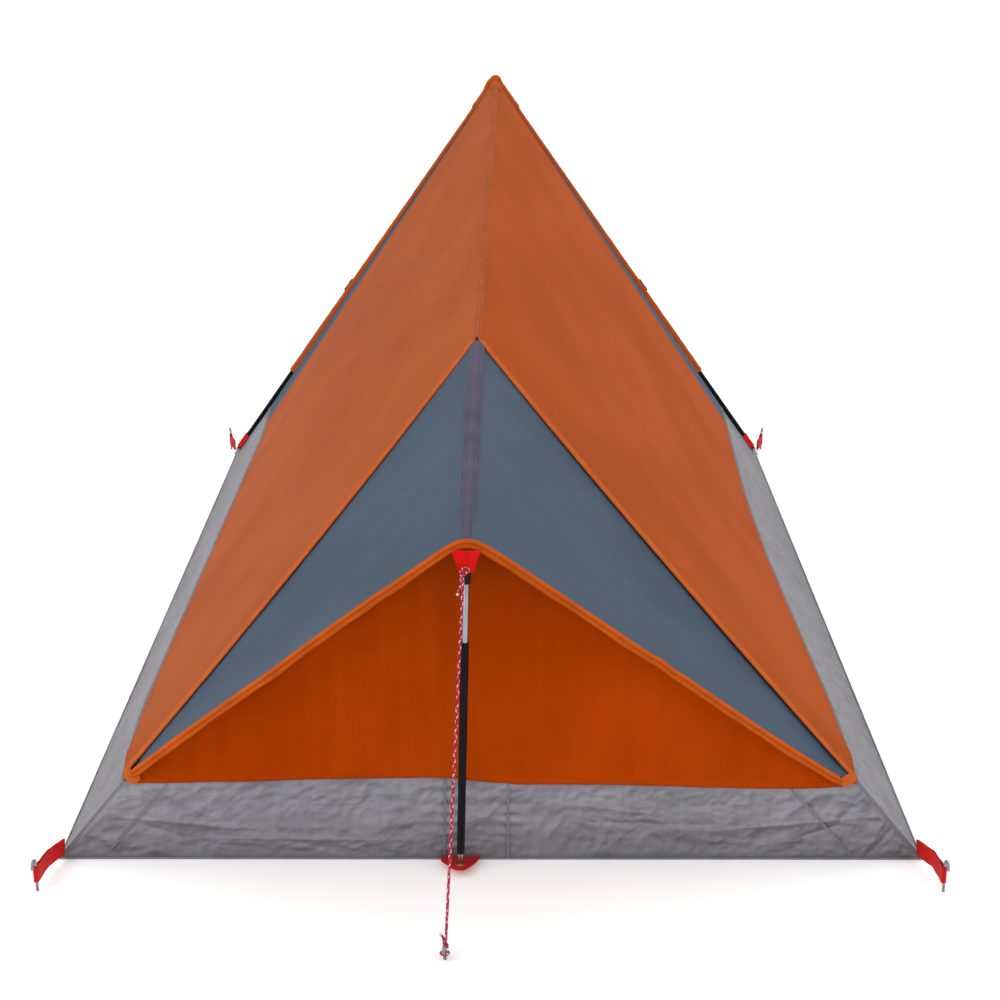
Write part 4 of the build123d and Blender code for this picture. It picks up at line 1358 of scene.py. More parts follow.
def side_band(side, sign):
    """Long side of the band, sloping in from the ground to the panel seam."""
    u, v = span(560), span(46)
    y0 = -FLOOR_END + 0.4
    low = pack(sign * BAND_FOOT_X, y0 + (957.5 + FLOOR_END) * u, 0.8)
    y = y0 + (947.5 + FLOOR_END) * u
    tuck = smooth(0, 45, y + FLOOR_END)
    high = pack(seam_x(sign, y) - sign * 2.5 * tuck, y, seam_z(sign, y) - 0.6 + 2.2 * tuck)
    high[0] = (sign * BAND_TOP_X, y0, 123.8)
    flat = low[:, None] * (1 - v)[None, :, None] + high[:, None] * v[None, :, None]
    normals = normals_towards(flat, UP)
    width = 158
    a, b = flat[..., 1], v[None, :] * width + 0 * flat[..., 1]
    fade = cap1(u * 90)[:, None] * cap1((1 - u) * 90)[:, None]
    fade = fade * cap1(v * 8)[None] * cap1((1 - v) * 8)[None]
    d_rear = a + FLOOR_END
    relief = crumple(a, b, 301 + 10 * sign, 1.1) - 1.5 + 2.2 * noise(a / 230, b / 160, 305 + sign)
    relief += (np.exp(-d_rear / 150) * 2.4
               * folds((d_rear + 0.8 * b) / 48, b / 80, 307 + sign, 2))
    relief = fade * (relief + creases(a, b, SIDE_CREASES))
    relief += cap1(fade * 2) * edge_fade(width - b, 15) * 0.8 * wave(a, 18, 309 + sign)
    face = flat + normals * relief[..., None]
    # painted shade: the whole side darker than the rear band, the right side darker still, and
    # darker under the panel's edge; also darker along the ground edge
    tone = (1 + 0.05 * noise(a / 120, b / 60, 311 + sign) - 0.10 * edge_fade(b, 8)
            - 0.07 * edge_fade(width - b, 5) - 0.17 - 0.06 * (sign > 0))
    tone = tone + painted_fold_light(face, flat, light=vec(-0.35, -0.5, 0.8), amount=1.3) * 0.9
    out = vec(sign * 0.79, 0, 0.6)
    axes = vec(0, 1, 0), unit(high[280] - low[280])
    parts, rows = [sheet(face, 0.7, out, tone=tone, axes=axes)], []
    # piping where it meets the rear side, then welts along the ground and under the seam
    piping = lerp(vec(sign * BAND_FOOT_X, -FLOOR_END - 0.2, 1.5),
                  vec(sign * BAND_TOP_X, -FLOOR_END - 0.2, 123), span(40))
    welt(parts, rows, piping, 3.2, 0.5, 7, unit(vec(sign * 0.55, -0.83, 0.1)), (0,), row=BAND_ROW)
    ground = pack(sign * 607.3, np.linspace(-FLOOR_END + 4, 952, 260), 2.2)
    welt(parts, rows, ground, 3.0, 0.6, 8, unit(vec(sign, 0, 0.75)))
    y = np.linspace(-FLOOR_END + 6, 938, 300)
    seam = pack(seam_x(sign, y) + sign * 1.6, y, seam_z(sign, y) - 2.2)
    welt(parts, rows, seam, 8.0, 1.0, 9, unit(out), (1.6, -1.8), lift=1.3, row=WELT_ROW)
    build(f"side_band_{side}_tarpaulin", parts, BAND, f"band_{side}")
    build(f"side_band_{side}_stitching", rows, THREAD_B)


def groundsheet():
    x = np.linspace(-606, 606, 150)[:, None]
    y = np.linspace(-FLOOR_END + 2, FLOOR_END - 4, 220)[None]
    fade = cap1((606 - np.abs(x)) / 20) * cap1((FLOOR_END - 4 - np.abs(y)) / 20)
    bumps = 1.6 + 1.5 * crumple(x, y, 401) + 1.2 * noise(x / 260, y / 260, 403)
    face = pack(x, y, 1.1 + fade * np.clip(bumps, 0, 6) if False else 1.1 + np.clip(bumps, 0, 6)
                * fade)
    build("groundsheet_tarpaulin_floor", sheet(face, 0.7, UP, axes=(RIGHT, vec(0, 1, 0))),
          GROUND, "groundsheet")


rear_band()
rear_wall_hem()
both(side_band)
groundsheet()

# ------------------------------------------------------------- A-frame plane
RISE = FRAME_TOP - FRAME_FOOT
HEIGHT = float(np.linalg.norm(RISE))
UP_FRAME = unit(RISE)
OUT = vec(0, UP_FRAME[2], -UP_FRAME[1])
LEG = math.hypot(LEG_FOOT_X, HEIGHT)
# inward normal and upward run of the left leg, in (left, up the plane)
LEG_IN = vec(-HEIGHT / LEG, -LEG_FOOT_X / LEG)
LEG_RUN = vec(-LEG_FOOT_X / LEG, HEIGHT / LEG)
FRAME_AXES = (RIGHT, UP_FRAME)


def frame_point(left, up, out):
    """Point of the A-frame plane: to the left, up the plane, out of the door."""
    left, up, out = np.broadcast_arrays(*(np.asarray(c, float) for c in (left, up, out)))
    side = left[..., None] * vec(-1, 0, 0)
    return FRAME_FOOT + side + up[..., None] * UP_FRAME + out[..., None] * OUT


def hinge_at(up, inset):
    """Distance from the middle to the line that runs inset inside the leg."""
    start = LEG_FOOT_X + LEG_IN[0] * inset
    base = LEG_IN[1] * inset
    return start + LEG_RUN[0] * (np.asarray(up, float) - base) / LEG_RUN[1]


def leg_foot(sign):
    return FRAME_FOOT + RIGHT * sign * LEG_FOOT_X


def leg_run(sign):
    return unit(FRAME_TOP - leg_foot(sign))


def leg_point(sign, at):
    return leg_foot(sign) + leg_run(sign) * np.asarray(at, float)[..., None]


# ------------------------------------------------ front roof strips, sleeves
def front_edge(sign):
    """Lower and upper end of the edge along the leg."""
    return vec(sign * 521.5, 946, 121.0), vec(sign * 12, 912, 853)


def front_roof(side, sign):
    u, v = span(230), span(22)
    rear = lerp(vec(sign * 513.0, 806, 122.4), vec(sign * 3.0, 900, 862), u)
    front = lerp(*front_edge(sign), u)
    face = rear[:, None] * (1 - v)[None, :, None] + front[:, None] * v[None, :, None]
    out = vec(sign, 0, 0)
    normals = normals_towards(face, out)
    along, across = u[:, None], v[None, :]
    z = face[..., 2]
    open_area = bow(across) ** 0.8 * cap1(along * 14) * cap1((1 - along) * 6)
    relief = open_area * (-3.0 + 1.4 * noise(z / 70, across * 1.5, 501 + sign)
                          + 0.6 * noise(z / 22, across * 2.5, 503 + sign))
    face = face + normals * relief[..., None]
    tone = 1 + 0.07 * noise(z / 80, across * 2, 505 + sign)
    build(f"front_roof_{side}_fabric", sheet(face, 0.8, out, tone=tone, under=1),
          [GREY, GREY_IN], f"front_roof_{side}", weld=True)


def pole_sleeve(side, sign):
    """Gathered tube round the leg, with the seam flange that sews it to the roof."""
    start, end = 246, LEG - 70
    at = np.arange(start, end, 3.0)
    path = leg_point(sign, at)
    turn, far = angles(30)[None], at[:, None]
    x, y = np.cos(turn) * 1.7 + 0 * far, np.sin(turn) * 1.7 + 0 * far
    gather = (0.55 * noise(x + far / 21, y + far / 33, 511 + sign)
              + 0.30 * noise(x * 2 + far / 8, y * 2, 513 + sign))
    ends = cap1((at - start) / 10) * cap1((end - at) / 10)
    outer = 8.35 + gather * (0.3 + 0.7 * ends)[:, None]
    outer[:4] += 0.5
    outer[-4:] += 0.5
    sleeve = shell_tube(path, outer, 7.2, OUT)
    low, high = front_edge(sign)
    share = np.clip((path[:, 2] - low[2]) / (high[2] - low[2]), 0, 1)[:, None]
    edge = low + (high - low) * share
    t = span(7)
    to_edge = unit(edge - path)
    inner_line, outer_line = path + to_edge * 7.6, edge + to_edge * 1.5
    face = inner_line[:, None] * (1 - t)[None, :, None] + outer_line[:, None] * t[None, :, None]
    normals = grid_normals(face)
    ripple = 0.8 * noise(at / 14, 0.4, 515 + sign)[:, None] * bow(t)[None]
    face = face + normals * ripple[..., None]
    middle, normal = face[:, 3], normals[:, 3]
    rows = [stitches(middle + normal * 0.35, normal, CLOTH_ROW),
            stitches(middle - normal * 1.35, -normal, CLOTH_ROW)]
    build(f"pole_sleeve_{side}_fabric", [sleeve, sheet(face, 1.0)], SLEEVE,
          f"pole_sleeve_{side}")
    build(f"pole_sleeve_{side}_stitching", rows, THREAD_D)


def foot_pocket(side, sign):
    """Webbing pocket round the leg foot, with its tail sewn to the band."""
    at = np.arange(20, 57.5, 1.0)
    turn, far = angles(30)[None], at[:, None]
    outer = (7.5 + 0.12 * np.sin(2 * PI * far / 1.6)
             + 0.25 * noise(np.cos(turn) * 1.2 + far / 9, np.sin(turn), 521 + sign))
    pocket = shell_tube(leg_point(sign, at), outer, 6.15, OUT)
    low, high = leg_point(sign, [24.0, 53.0]) - OUT * 7.2
    reach = vec(-sign * 3, -9, 2)
    face = np.stack([lerp(low, high, span(16)) + reach * part
                     for part in np.linspace(-0.15, 1.0, 8)], 1)
    build(f"foot_pocket_{side}_webbing", [pocket, sheet(face, 1.4)], RED,
          f"foot_pocket_{side}")


def front_side(side, sign):
    front_roof(side, sign)
    pole_sleeve(side, sign)
    foot_pocket(side, sign)


def front_sill():
    """Tarpaulin sill under the doors."""
    v = span(44)
    half = 598.0 - (598.0 - 512.0) * v
    x = (2 * span(420) - 1)[:, None] * half[None]
    up = -2.5 + 120.5 * v[None, :] + 0 * x
    fade = cap1((half[None] - np.abs(x)) / 10) * cap1(v * 9)[None] * cap1((1 - v) * 9)[None]
    relief = crumple(x, up, 601, 0.8) - 1.4
    relief += (smooth(380, 560, np.abs(x)) * 1.2
               * folds((np.abs(x) - 0.6 * up) / 42, up / 90, 611, 2))
    face = frame_point(x, up, 0.2 + np.clip(fade * relief, -4.0, 0.9))
    tone = 1 + 0.05 * noise(x / 90, up / 60, 613)
    parts, rows = [sheet(face, 0.7, OUT, axes=FRAME_AXES, tone=tone)], []
    top = frame_point(np.linspace(-508, 508, 260), 115.5, 1.0)
    welt(parts, rows, top, 9.0, 1.0, 5, OUT, (-2.2, 2.2), lift=1.2, row=WELT_ROW)
    for x0 in (-300.0, 300.0):
        line = frame_point(x0, np.linspace(0, 112, 50), 0.9)
        welt(parts, rows, line, 8.0, 0.8, x0, OUT, (0,), lift=1.0, row=BAND_ROW)
    build("front_sill_tarpaulin", parts, BAND, "band_front")
    build("front_sill_stitching", rows, THREAD_B)


def front_gusset():
    """Fixed gusset above the doors."""
    v = np.linspace(768, 826, 34)
    half = LEG_FOOT_X * (1 - v / HEIGHT) - 11.0
    x = (2 * span(60) - 1)[:, None] * half[None]
    face = frame_point(x, v[None], 3.0 + 0.8 * noise(x / 16, v[None] / 20, 621))
    parts, rows = [sheet(face, 0.9, OUT, axes=FRAME_AXES)], []
    hem = frame_point(np.linspace(-half[0] + 2, half[0] - 2, 40), 771.0, 3.3)
    welt(parts, rows, hem, 7.0, 0.8, 6, OUT, (0,))
    build("front_gusset_fabric", parts, GREY, "front_gusset")
    build("front_gusset_stitching", rows, THREAD_G)


both(front_side)
front_sill()
front_gusset()


# ---------------------------------------------------------------- peak cap
def peak_solids():
    """Overlapping solids that make up the cap."""
    at = np.linspace(LEG - 76, LEG - 3, 16)
    radius = 10.9 + 0.6 * np.exp(-(((at - LEG + 72) / 4) ** 2))
    solids = [tube(leg_point(sign, at), radius, 24, ref=OUT) for sign in (-1, 1)]
    dome = [(12.5 - 12.9 * math.cos(t), 12.9 * math.sin(t) + 0.001)
            for t in np.linspace(0, PI, 12)]
    solids.append(revolve(FRAME_TOP - vec(0, 0, 12.5), UP, dome, 28))
    # blunt crown: the cloth bunches over the hub, more to the left
    crown = np.array([(-24, -27), (-19, -15), (-12, -6), (-5, -1.6), (3, -2.6), (9, -8)])
    solids.append(tube(FRAME_TOP + pack(crown[:, 0], 0, crown[:, 1]),
                       [5.0, 6.5, 9.0, 11.4, 11.0, 9.0], 24, ref=OUT))
    # web of fabric between the two sleeves
    at = LEG - 62 + 50 * span(14)
    across = span(12)[None, :, None]
    web = leg_point(-1, at)[:, None] * (1 - across) + leg_point(1, at)[:, None] * across
    solids.append(sheet(web + OUT * 5.0, 10.0))
    # and back along the ridge
    back = resample([FRAME_TOP + vec(0, -2, -1), RIDGE_FRONT + vec(0, -34, -9)], 4)
    prof = [(-13, -11), (-9, -4), (-4, 3), (0, 6.5), (4, 3), (9, -4), (13, -11), (0, -4)]
    solids.append(sweep(back, prof, UP))
    return solids


def read_vectors(items, key):
    values = np.zeros(len(items) * 3)
    items.foreach_get(key, values)
    return values.reshape(-1, 3)


def peak_cap():
    """Sewn cap: solids joined, remeshed and relaxed into one skin."""
    name = "peak_cap_fabric"
    raw = build(name + "_raw", peak_solids(), SLEEVE, body=None)
    remesh = raw.modifiers.new("r", "REMESH")
    remesh.mode = "VOXEL"
    remesh.voxel_size = 1.1 * MM
    relax = raw.modifiers.new("s", "SMOOTH")
    relax.factor = 0.5
    relax.iterations = 8
    graph = bpy.context.evaluated_depsgraph_get()
    mesh = bpy.data.meshes.new_from_object(raw.evaluated_get(graph))
    bpy.data.objects.remove(raw)
    points = read_vectors(mesh.vertices, "co") / MM
    normals = read_vectors(mesh.vertices, "normal")
    x, y, z = points.T
    relief = (0.35 * noise(x / 9 + y / 17, z / 9, 631)
              + 0.15 * noise(x / 3.5, z / 3.5 + y / 5, 633))
    points = points + normals * relief[:, None]
    mesh.vertices.foreach_set("co", (points * MM).ravel())
    x, y, z = points.T
    corners = np.zeros(len(mesh.loops), np.int32)
    mesh.loops.foreach_get("vertex_index", corners)
    uv = pack(x * 1.2 * MM, z * MM + y * MM)[corners].ravel()
    add_layers(mesh, uv, np.ones(len(mesh.vertices)))
    mesh.materials.clear()
    mesh.materials.append(SLEEVE)
    mesh.polygons.foreach_set("material_index", np.zeros(len(mesh.polygons), np.int32))
    mesh.polygons.foreach_set("use_smooth", np.ones(len(mesh.polygons), bool))
    add_object(name, mesh, "peak_cap", "tent")

    rows = []
    turn = np.linspace(0, 2 * PI, 40)[:, None]
    for sign in (-1, 1):
        beside = np.cross(leg_run(sign), OUT)
        for at in (LEG - 70, LEG - 66):
            centre = leg_point(sign, at)
            ring = centre + 11.3 * (np.cos(turn) * beside + np.sin(turn) * OUT)
            rows.append(stitches(ring, unit(ring - centre), CAP_ROW))
    build("peak_cap_stitching", rows, THREAD_D)


peak_cap()

# -------------------------------------------------------------------- doors
DOOR_OUT = 10.6                      # mid surface of the door flaps, out from the leg plane
DOOR_LOW, DOOR_TOP = 45, 790
DOOR_EDGE = 8.0                      # free edge, from the middle
# window: inner edge from the middle, bottom and top up the plane, inset from the leg
WINDOW_IN, WINDOW_LOW, WINDOW_TOP, WINDOW_INSET = 34, 500, 690, 48


def window_runs(inner, low, inset, high, step):
    """The four sides of a window outline, each resampled, as (left, up) pairs."""
    corners = vec(inner, low), vec(hinge_at(low, inset), low), \
        vec(hinge_at(high, inset), high), vec(inner, high), vec(inner, low)
    return [resample([a, b], step) for a, b in zip(corners[:-1], corners[1:])]


def door_flap(side, hand):
    """hand is +1 for the left door and -1 for the right."""
    rows = np.unique(np.concatenate([
        np.linspace(DOOR_LOW, WINDOW_LOW, 116), np.linspace(WINDOW_LOW, WINDOW_TOP, 50),
        np.linspace(WINDOW_TOP, DOOR_TOP, 28)]))
    # columns count 0..1 to the window, 1..2 across it, 2..3 on to the hinge
    cols = np.concatenate([span(10)[:-1], np.linspace(1, 2, 46)[:-1], np.linspace(2, 3, 26)])
    outer = hinge_at(rows, 9.6)
    near = np.minimum(WINDOW_IN, DOOR_EDGE + (outer - DOOR_EDGE) * 0.4)
    far = np.maximum(near + (outer - near) * 0.35,
                     np.minimum(hinge_at(rows, WINDOW_INSET), outer - 4))
    knots = np.stack([np.full_like(rows, DOOR_EDGE), near, far, outer])
    zone = np.minimum(cols.astype(int), 2)
    part = (cols - zone)[:, None]
    left = knots[zone] * (1 - part) + knots[zone + 1] * part
    up = rows[None, :] + 0 * left
    to_leg = (outer[None] - left) * HEIGHT / LEG
    fade = (cap1((left - DOOR_EDGE) / 20) * cap1(to_leg / 30)
            * cap1((up - DOOR_LOW) / 30) * cap1((DOOR_TOP - up) / 30))
    past_window = np.maximum(
        np.maximum(WINDOW_LOW - up, up - WINDOW_TOP),
        np.maximum(WINDOW_IN - left, left - hinge_at(up, WINDOW_INSET)))
    relief = fade * (1.9 * noise(left / 90, up / 420, 651 + hand)
                     + 0.9 * noise(left / 36, up / 160, 653 + hand)
                     + 0.5 * folds(left / 120, up / 120, 655 + hand, 2))
    relief = relief * (0.25 + 0.75 * smooth(0, 26, past_window))
    relief += cap1(fade * 4) * 0.25 * noise(left / 18, up / 18, 657 + hand)
    face = frame_point(hand * left, up, DOOR_OUT + 0.5 + np.clip(relief, -1.6, 3.0))
    mid_col, mid_row = (cols[:-1] + cols[1:]) / 2, (rows[:-1] + rows[1:]) / 2
    mask = np.ones((len(mid_col), len(mid_row)), bool)
    mask[np.ix_((mid_col > 1) & (mid_col < 2),
                (mid_row > WINDOW_LOW) & (mid_row < WINDOW_TOP))] = False
    tone = 1 + 0.06 * noise(left / 120, up / 150, 659 + hand)
    flap = sheet(face, 0.8, OUT, mask=mask, tone=tone, axes=FRAME_AXES, under=1)
    panel = build(f"door_{side}_fabric", flap, [DOOR, ORANGE_IN],
                  f"door_{side}_panel", weld=True, body=None)
    # two points 28 mm apart across the strip beside the hinge; they are not used
    hinge = hinge_at(400, 10.0)
    start = frame_point(hand * hinge, 400, DOOR_OUT)
    end = frame_point(hand * (hinge + 28 * LEG_IN[0]), 400 + 28 * LEG_IN[1], DOOR_OUT)
    tuple(start * MM)
    tuple(end * MM)
    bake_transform(panel)


def door_hems(side, hand):
    """Bottom hem and window binding, then the seam that stays along the sleeve."""
    parts, rows = [], []
    bottom = 22 + (hinge_at(49, 34) - 22) * span(120)
    welt(parts, rows, frame_point(hand * bottom, 49.5, DOOR_OUT + 1.2), 8, 0.8, 1 + hand, OUT,
         (0,))
    ring = np.concatenate(window_runs(WINDOW_IN, WINDOW_LOW, WINDOW_INSET, WINDOW_TOP, 4))
    welt(parts, rows, frame_point(hand * ring[:, 0], ring[:, 1], DOOR_OUT + 1.3), 11.0, 0.8,
         2 + hand, OUT, (-4.0, 4.0))
    build(f"door_{side}_hems", parts, DOOR, body=f"door_{side}")
    build(f"door_{side}_stitching", rows, THREAD_D, body=f"door_{side}")
    up = np.linspace(52, 772, 180)
    seam = []
    welt(seam, [], frame_point(hand * hinge_at(up, 11.5), up, DOOR_OUT + 1.0), 6.0, 0.7,
         9 + hand, OUT)
    build(f"door_{side}_hinge_seam", seam, DOOR)


def mesh_thread(start, end):
    """Eight corner points of one straight thread."""
    radius = 0.16
    side = unit(np.cross(unit(end - start), OUT))
    return [point + side * a + OUT * b for point in (start, end)
            for a, b in ((radius, 0), (0, radius), (-radius, 0), (0, -radius))]


def window_mesh(side, hand):
    """Insect mesh: two families of threads 2 mm apart, with a bound edge."""
    low, top, inset, inner = 489.0, 701.0, 37, 25.0
    points = []
    for row in np.arange(low, 702.0, 2.0):
        outer = float(hinge_at(row, inset))
        points += mesh_thread(frame_point(hand * inner, row, DOOR_OUT - 0.85),
                              frame_point(hand * outer, row, DOOR_OUT - 0.85))
    for col in np.arange(26.0, float(hinge_at(low, inset)), 2.0):
        high = min(top, float((hinge_at(0, inset) - col) / (-LEG_RUN[0] / LEG_RUN[1])))
        if high > 494:
            points += mesh_thread(frame_point(hand * col, low, DOOR_OUT - 0.6),
                                  frame_point(hand * col, high, DOOR_OUT - 0.6))
    base = np.arange(len(points) // 8)[:, None] * 8
    corners = [(j, (j + 1) % 4, (j + 1) % 4 + 4, j + 4) for j in range(4)]
    corners += [(3, 2, 1, 0), (4, 5, 6, 7)]
    parts = [geo(points, [np.concatenate([base + np.array(c) for c in corners])])]
    for run in window_runs(30, 494, 42, 696, 6):
        welt(parts, [], frame_point(hand * run[:, 0], run[:, 1], DOOR_OUT - 0.7), 9.0, 0.35,
             4, OUT)
    build(f"door_{side}_window_mesh", parts, MESH, f"door_{side}_mesh",
          body=f"door_{side}")


def door_zip(side, hand):
    """Woven tape and a wound coil up the free edge."""
    body = f"door_{side}"
    low = 50.0 if hand > 0 else 83.0
    up = np.arange(low, 785.0, 3.0)
    prof = [(-8.3, -0.35), (-8.5, 0.1), (-8.2, 0.45), (-4, 0.38), (0, 0.42), (4, 0.38),
            (8.2, 0.45), (8.5, 0.1), (8.3, -0.35), (0, -0.4)]
    tape = sweep(frame_point(hand * 11.5, up, DOOR_OUT + 1.65), prof, OUT)
    pitch = 1.75
    turns = (783.0 - low) / pitch
    t = np.linspace(0, turns, int(turns * 9))
    left = hand * (2.1 + 1.55 * np.cos(2 * PI * t))
    out = DOOR_OUT + 1.75 + 1.2 * np.sin(2 * PI * t)
    coil = tube(frame_point(left, low + 1 + t * pitch, out), 0.42, 5, ref=OUT)
    build(f"zip_tape_{side}_weave", tape, ZIP_TAPE, f"zip_tape_{side}", body=body)
    build(f"zip_coil_{side}", coil, COIL, body=body)
    rows = [stitches(frame_point(hand * offset, up, DOOR_OUT + 2.15), OUT, ZIP_ROW)
            for offset in (13.5, 17.5)]
    build(f"zip_tape_{side}_stitching", rows, THREAD_D, body=body)


def door(side, sign):
    for make in (door_flap, door_hems, window_mesh, door_zip):
        make(side, -sign)


both(door)

# Barrel toggle with a waist: distance along it, radius.
TOGGLE_PROFILE = [
    (0, 0.01), (0, 2.1), (0.8, 3.0), (2.0, 3.4), (7, 3.5), (12.5, 3.4), (13.6, 2.7),
    (14.2, 2.2), (17.8, 2.2), (18.4, 2.7), (19.5, 3.4), (25, 3.5), (30, 3.4), (31.2, 3.0),
    (32, 2.1), (32, 0.01)]


def door_toggles():
    """A barrel toggle on each leg, held by a loop of cord."""
    barrels, loops = [], []
    for sign in (-1, 1):
        run = leg_run(sign)
        outward = np.cross(run, OUT)
        if outward[2] < 0:
            outward = -outward
        away = outward * 7.0 + OUT * 12.2
        base = leg_foot(sign) + run * 470 + away
        away = unit(away)
        beside = np.cross(run, away)
        barrels.append(revolve(base, run, TOGGLE_PROFILE, 28, ref=OUT))
        middle = base + run * 16
        turn = angles(29)[:, None]
        ring = middle + 3.0 * (np.cos(turn) * away + np.sin(turn) * beside)
        loops.append(tube(ring, 0.9, 8, ref=run, closed=True, uv_round=1.0))
        for offset in (-1.1, 1.1):
            path = rounded_path([middle + run * offset - away * 2.6,
                                 middle + run * offset * 1.4 - away * 4.2 + beside * 0.5,
                                 middle + run * offset * 1.8 - away * 6.4], 2, 0.8)
            loops.append(tube(path, 0.9, 8, ref=run, uv_round=1.0))
    build("door_toggle_barrels", barrels, TOGGLE, "door_toggles")
    build("door_toggle_loops", loops, ELASTIC)


door_toggles()


# -------------------------------------------------------------- webbing parts
def webbing_strip(path, wide, thick, tone):
    """Flat webbing on edge: wide along Z, thick across, with rounded selvedges."""
    w, t = wide / 2, thick / 2
    prof = np.array([
        (-t * 0.4, -w), (-t, -w * 0.93), (-t * 0.86, -w * 0.8), (-t * 0.86, 0),
        (-t * 0.86, w * 0.8), (-t, w * 0.93), (-t * 0.4, w), (t * 0.4, w), (t, w * 0.93),
        (t * 0.86, w * 0.8), (t * 0.86, 0), (t * 0.86, -w * 0.8), (t, -w * 0.93),
        (t * 0.4, -w)])
    g = sweep(path, prof, UP, tone=tone)
    # flat coordinates: u across the width, v along
    along = dist_along(path) * MM
    uv = pack(np.tile(prof[:, 1] * MM, len(path)), np.repeat(along, len(prof)))
    g["uv"][0] = uv[g["faces"][0]]
    return g


def corner_loop(name, corner, heading, length):
    """Folded webbing loop that runs out from a floor corner, sewn shut with a crossed box."""
    front = heading[1] > 0
    heading = unit(heading)
    side = vec(-heading[1], heading[0], 0)
    start = vec(corner[0], corner[1], 25.5)
    bend = 3.0
    end = length - 4.0
    back = -7.0 if front else -3.0
    # one run of the loop: distance out, half gap
    run = [(back, 0.85), (8, 0.9), (end * 0.45, 1.0), (end - 22, 1.3), (end - 10, 2.2),
           (end - 4, bend)]
    turn = [(end + bend * math.cos(t), bend * math.sin(t))
            for t in np.linspace(PI / 2, -PI / 2, 14)]
    outline = run + turn + [(p, -q) for p, q in run[::-1]]
    points = np.array([start + heading * p + side * q for p, q in outline])
    sewn = vec(math.copysign(600, corner[0]), corner[1] + 1.5, 19.0)
    if not front:
        points = np.concatenate([[sewn + side * 0.85], points[2:-2], [sewn - side * 0.85]])
    points = rounded_path(points, 4, 1.2)
    out = (points - start) @ heading

    def droop(at):
        return -2.2 * np.sin(PI * np.clip(at / end, 0, 1))

    points[:, 2] += droop(out) + 0.5 * noise(out / 18, 0.3, 701)
    points = points + side * (0.8 * noise(out / 25, 0.8, 703))[:, None]
    # painted shade where the loop runs in by the band corner
    tone = 1 - 0.22 * smooth(10, -4, out) + 0.05 * noise(out / 12, 0.1, 705)
    loop = webbing_strip(points, wide=24.0, thick=1.35, tone=tone)

    if front:
        stops, nodes = vec(0, end), np.array([start, start + heading * end])
        normal, box_in = side, 10
    else:
        knee = start + heading * end * 0.45
        stops = vec((sewn - start) @ heading, end * 0.45, end)
        nodes = np.array([sewn, knee, start + heading * end])
        way = unit((knee - sewn) * vec(1, 1, 0))
        normal, box_in = vec(-way[1], way[0], 0), stops[0] + 7.0
    box_out = box_in + 20
    low_in, low_out, high_out, high_in = [
        vec(x, z) for x, z in ((box_in, -8.5), (box_out, -8.5), (box_out, 8.5), (box_in, 8.5))]
    lines = ((low_in, low_out), (low_out, high_out), (high_out, high_in), (high_in, low_in),
             (low_in, high_out), (high_in, low_out))
    rows = []
    for face in (-1, 1):
        for a, b in lines:
            x, z = lerp(a, b, span(8)).T
            path = interp_cols(x, stops, nodes) + z[:, None] * UP + face * normal * 1.75
            path[:, 2] += droop(x)
            rows.append(stitches(path, face * normal, BOX_ROW))
    build(f"corner_loop_{name}_webbing", loop, RED, f"corner_loop_{name}")
    build(f"corner_loop_{name}_stitching", rows, THREAD_R)


# end of the floor, its sign along Y, outward splay, length
for end_name, end_sign, splay, loop_length in (("rear", -1, 0.10, 92.0), ("front", 1, 0.3, 54.0)):
    for side_name, side_sign in SIDES:
        corner_loop(f"{end_name}_{side_name}", (side_sign * 610, end_sign * FLOOR_END),
                    vec(side_sign * splay, end_sign, 0), loop_length)


def grommet(centre, axis, inner, outer, t):
    """Rolled eyelet: smooth mouth, domed rim on the face and a flatter washer behind."""
    middle = (inner + outer) / 2
    prof = [(t * 0.5, inner), (t * 0.95, inner + 0.35), (t * 1.15, middle),
            (t * 0.85, outer - 0.35), (t * 0.45, outer), (t * 0.3, outer - 0.5),
            (-t * 0.3, outer - 0.6), (-t * 0.6, outer - 0.4), (-t * 0.75, middle),
            (-t * 0.5, inner + 0.2), (0, inner - 0.12)]
    return revolve(centre, axis, prof, 44, closed=True)


# Outline of the rear foot tab in its own plane: x, y.
FOOT_TAB = [(-27, 4.5), (-28, -1), (-27.5, -14), (-20, -27), (-8, -50), (-4, -53), (4, -53),
            (8, -50), (23, -17), (28, -1), (27, 4.5)]


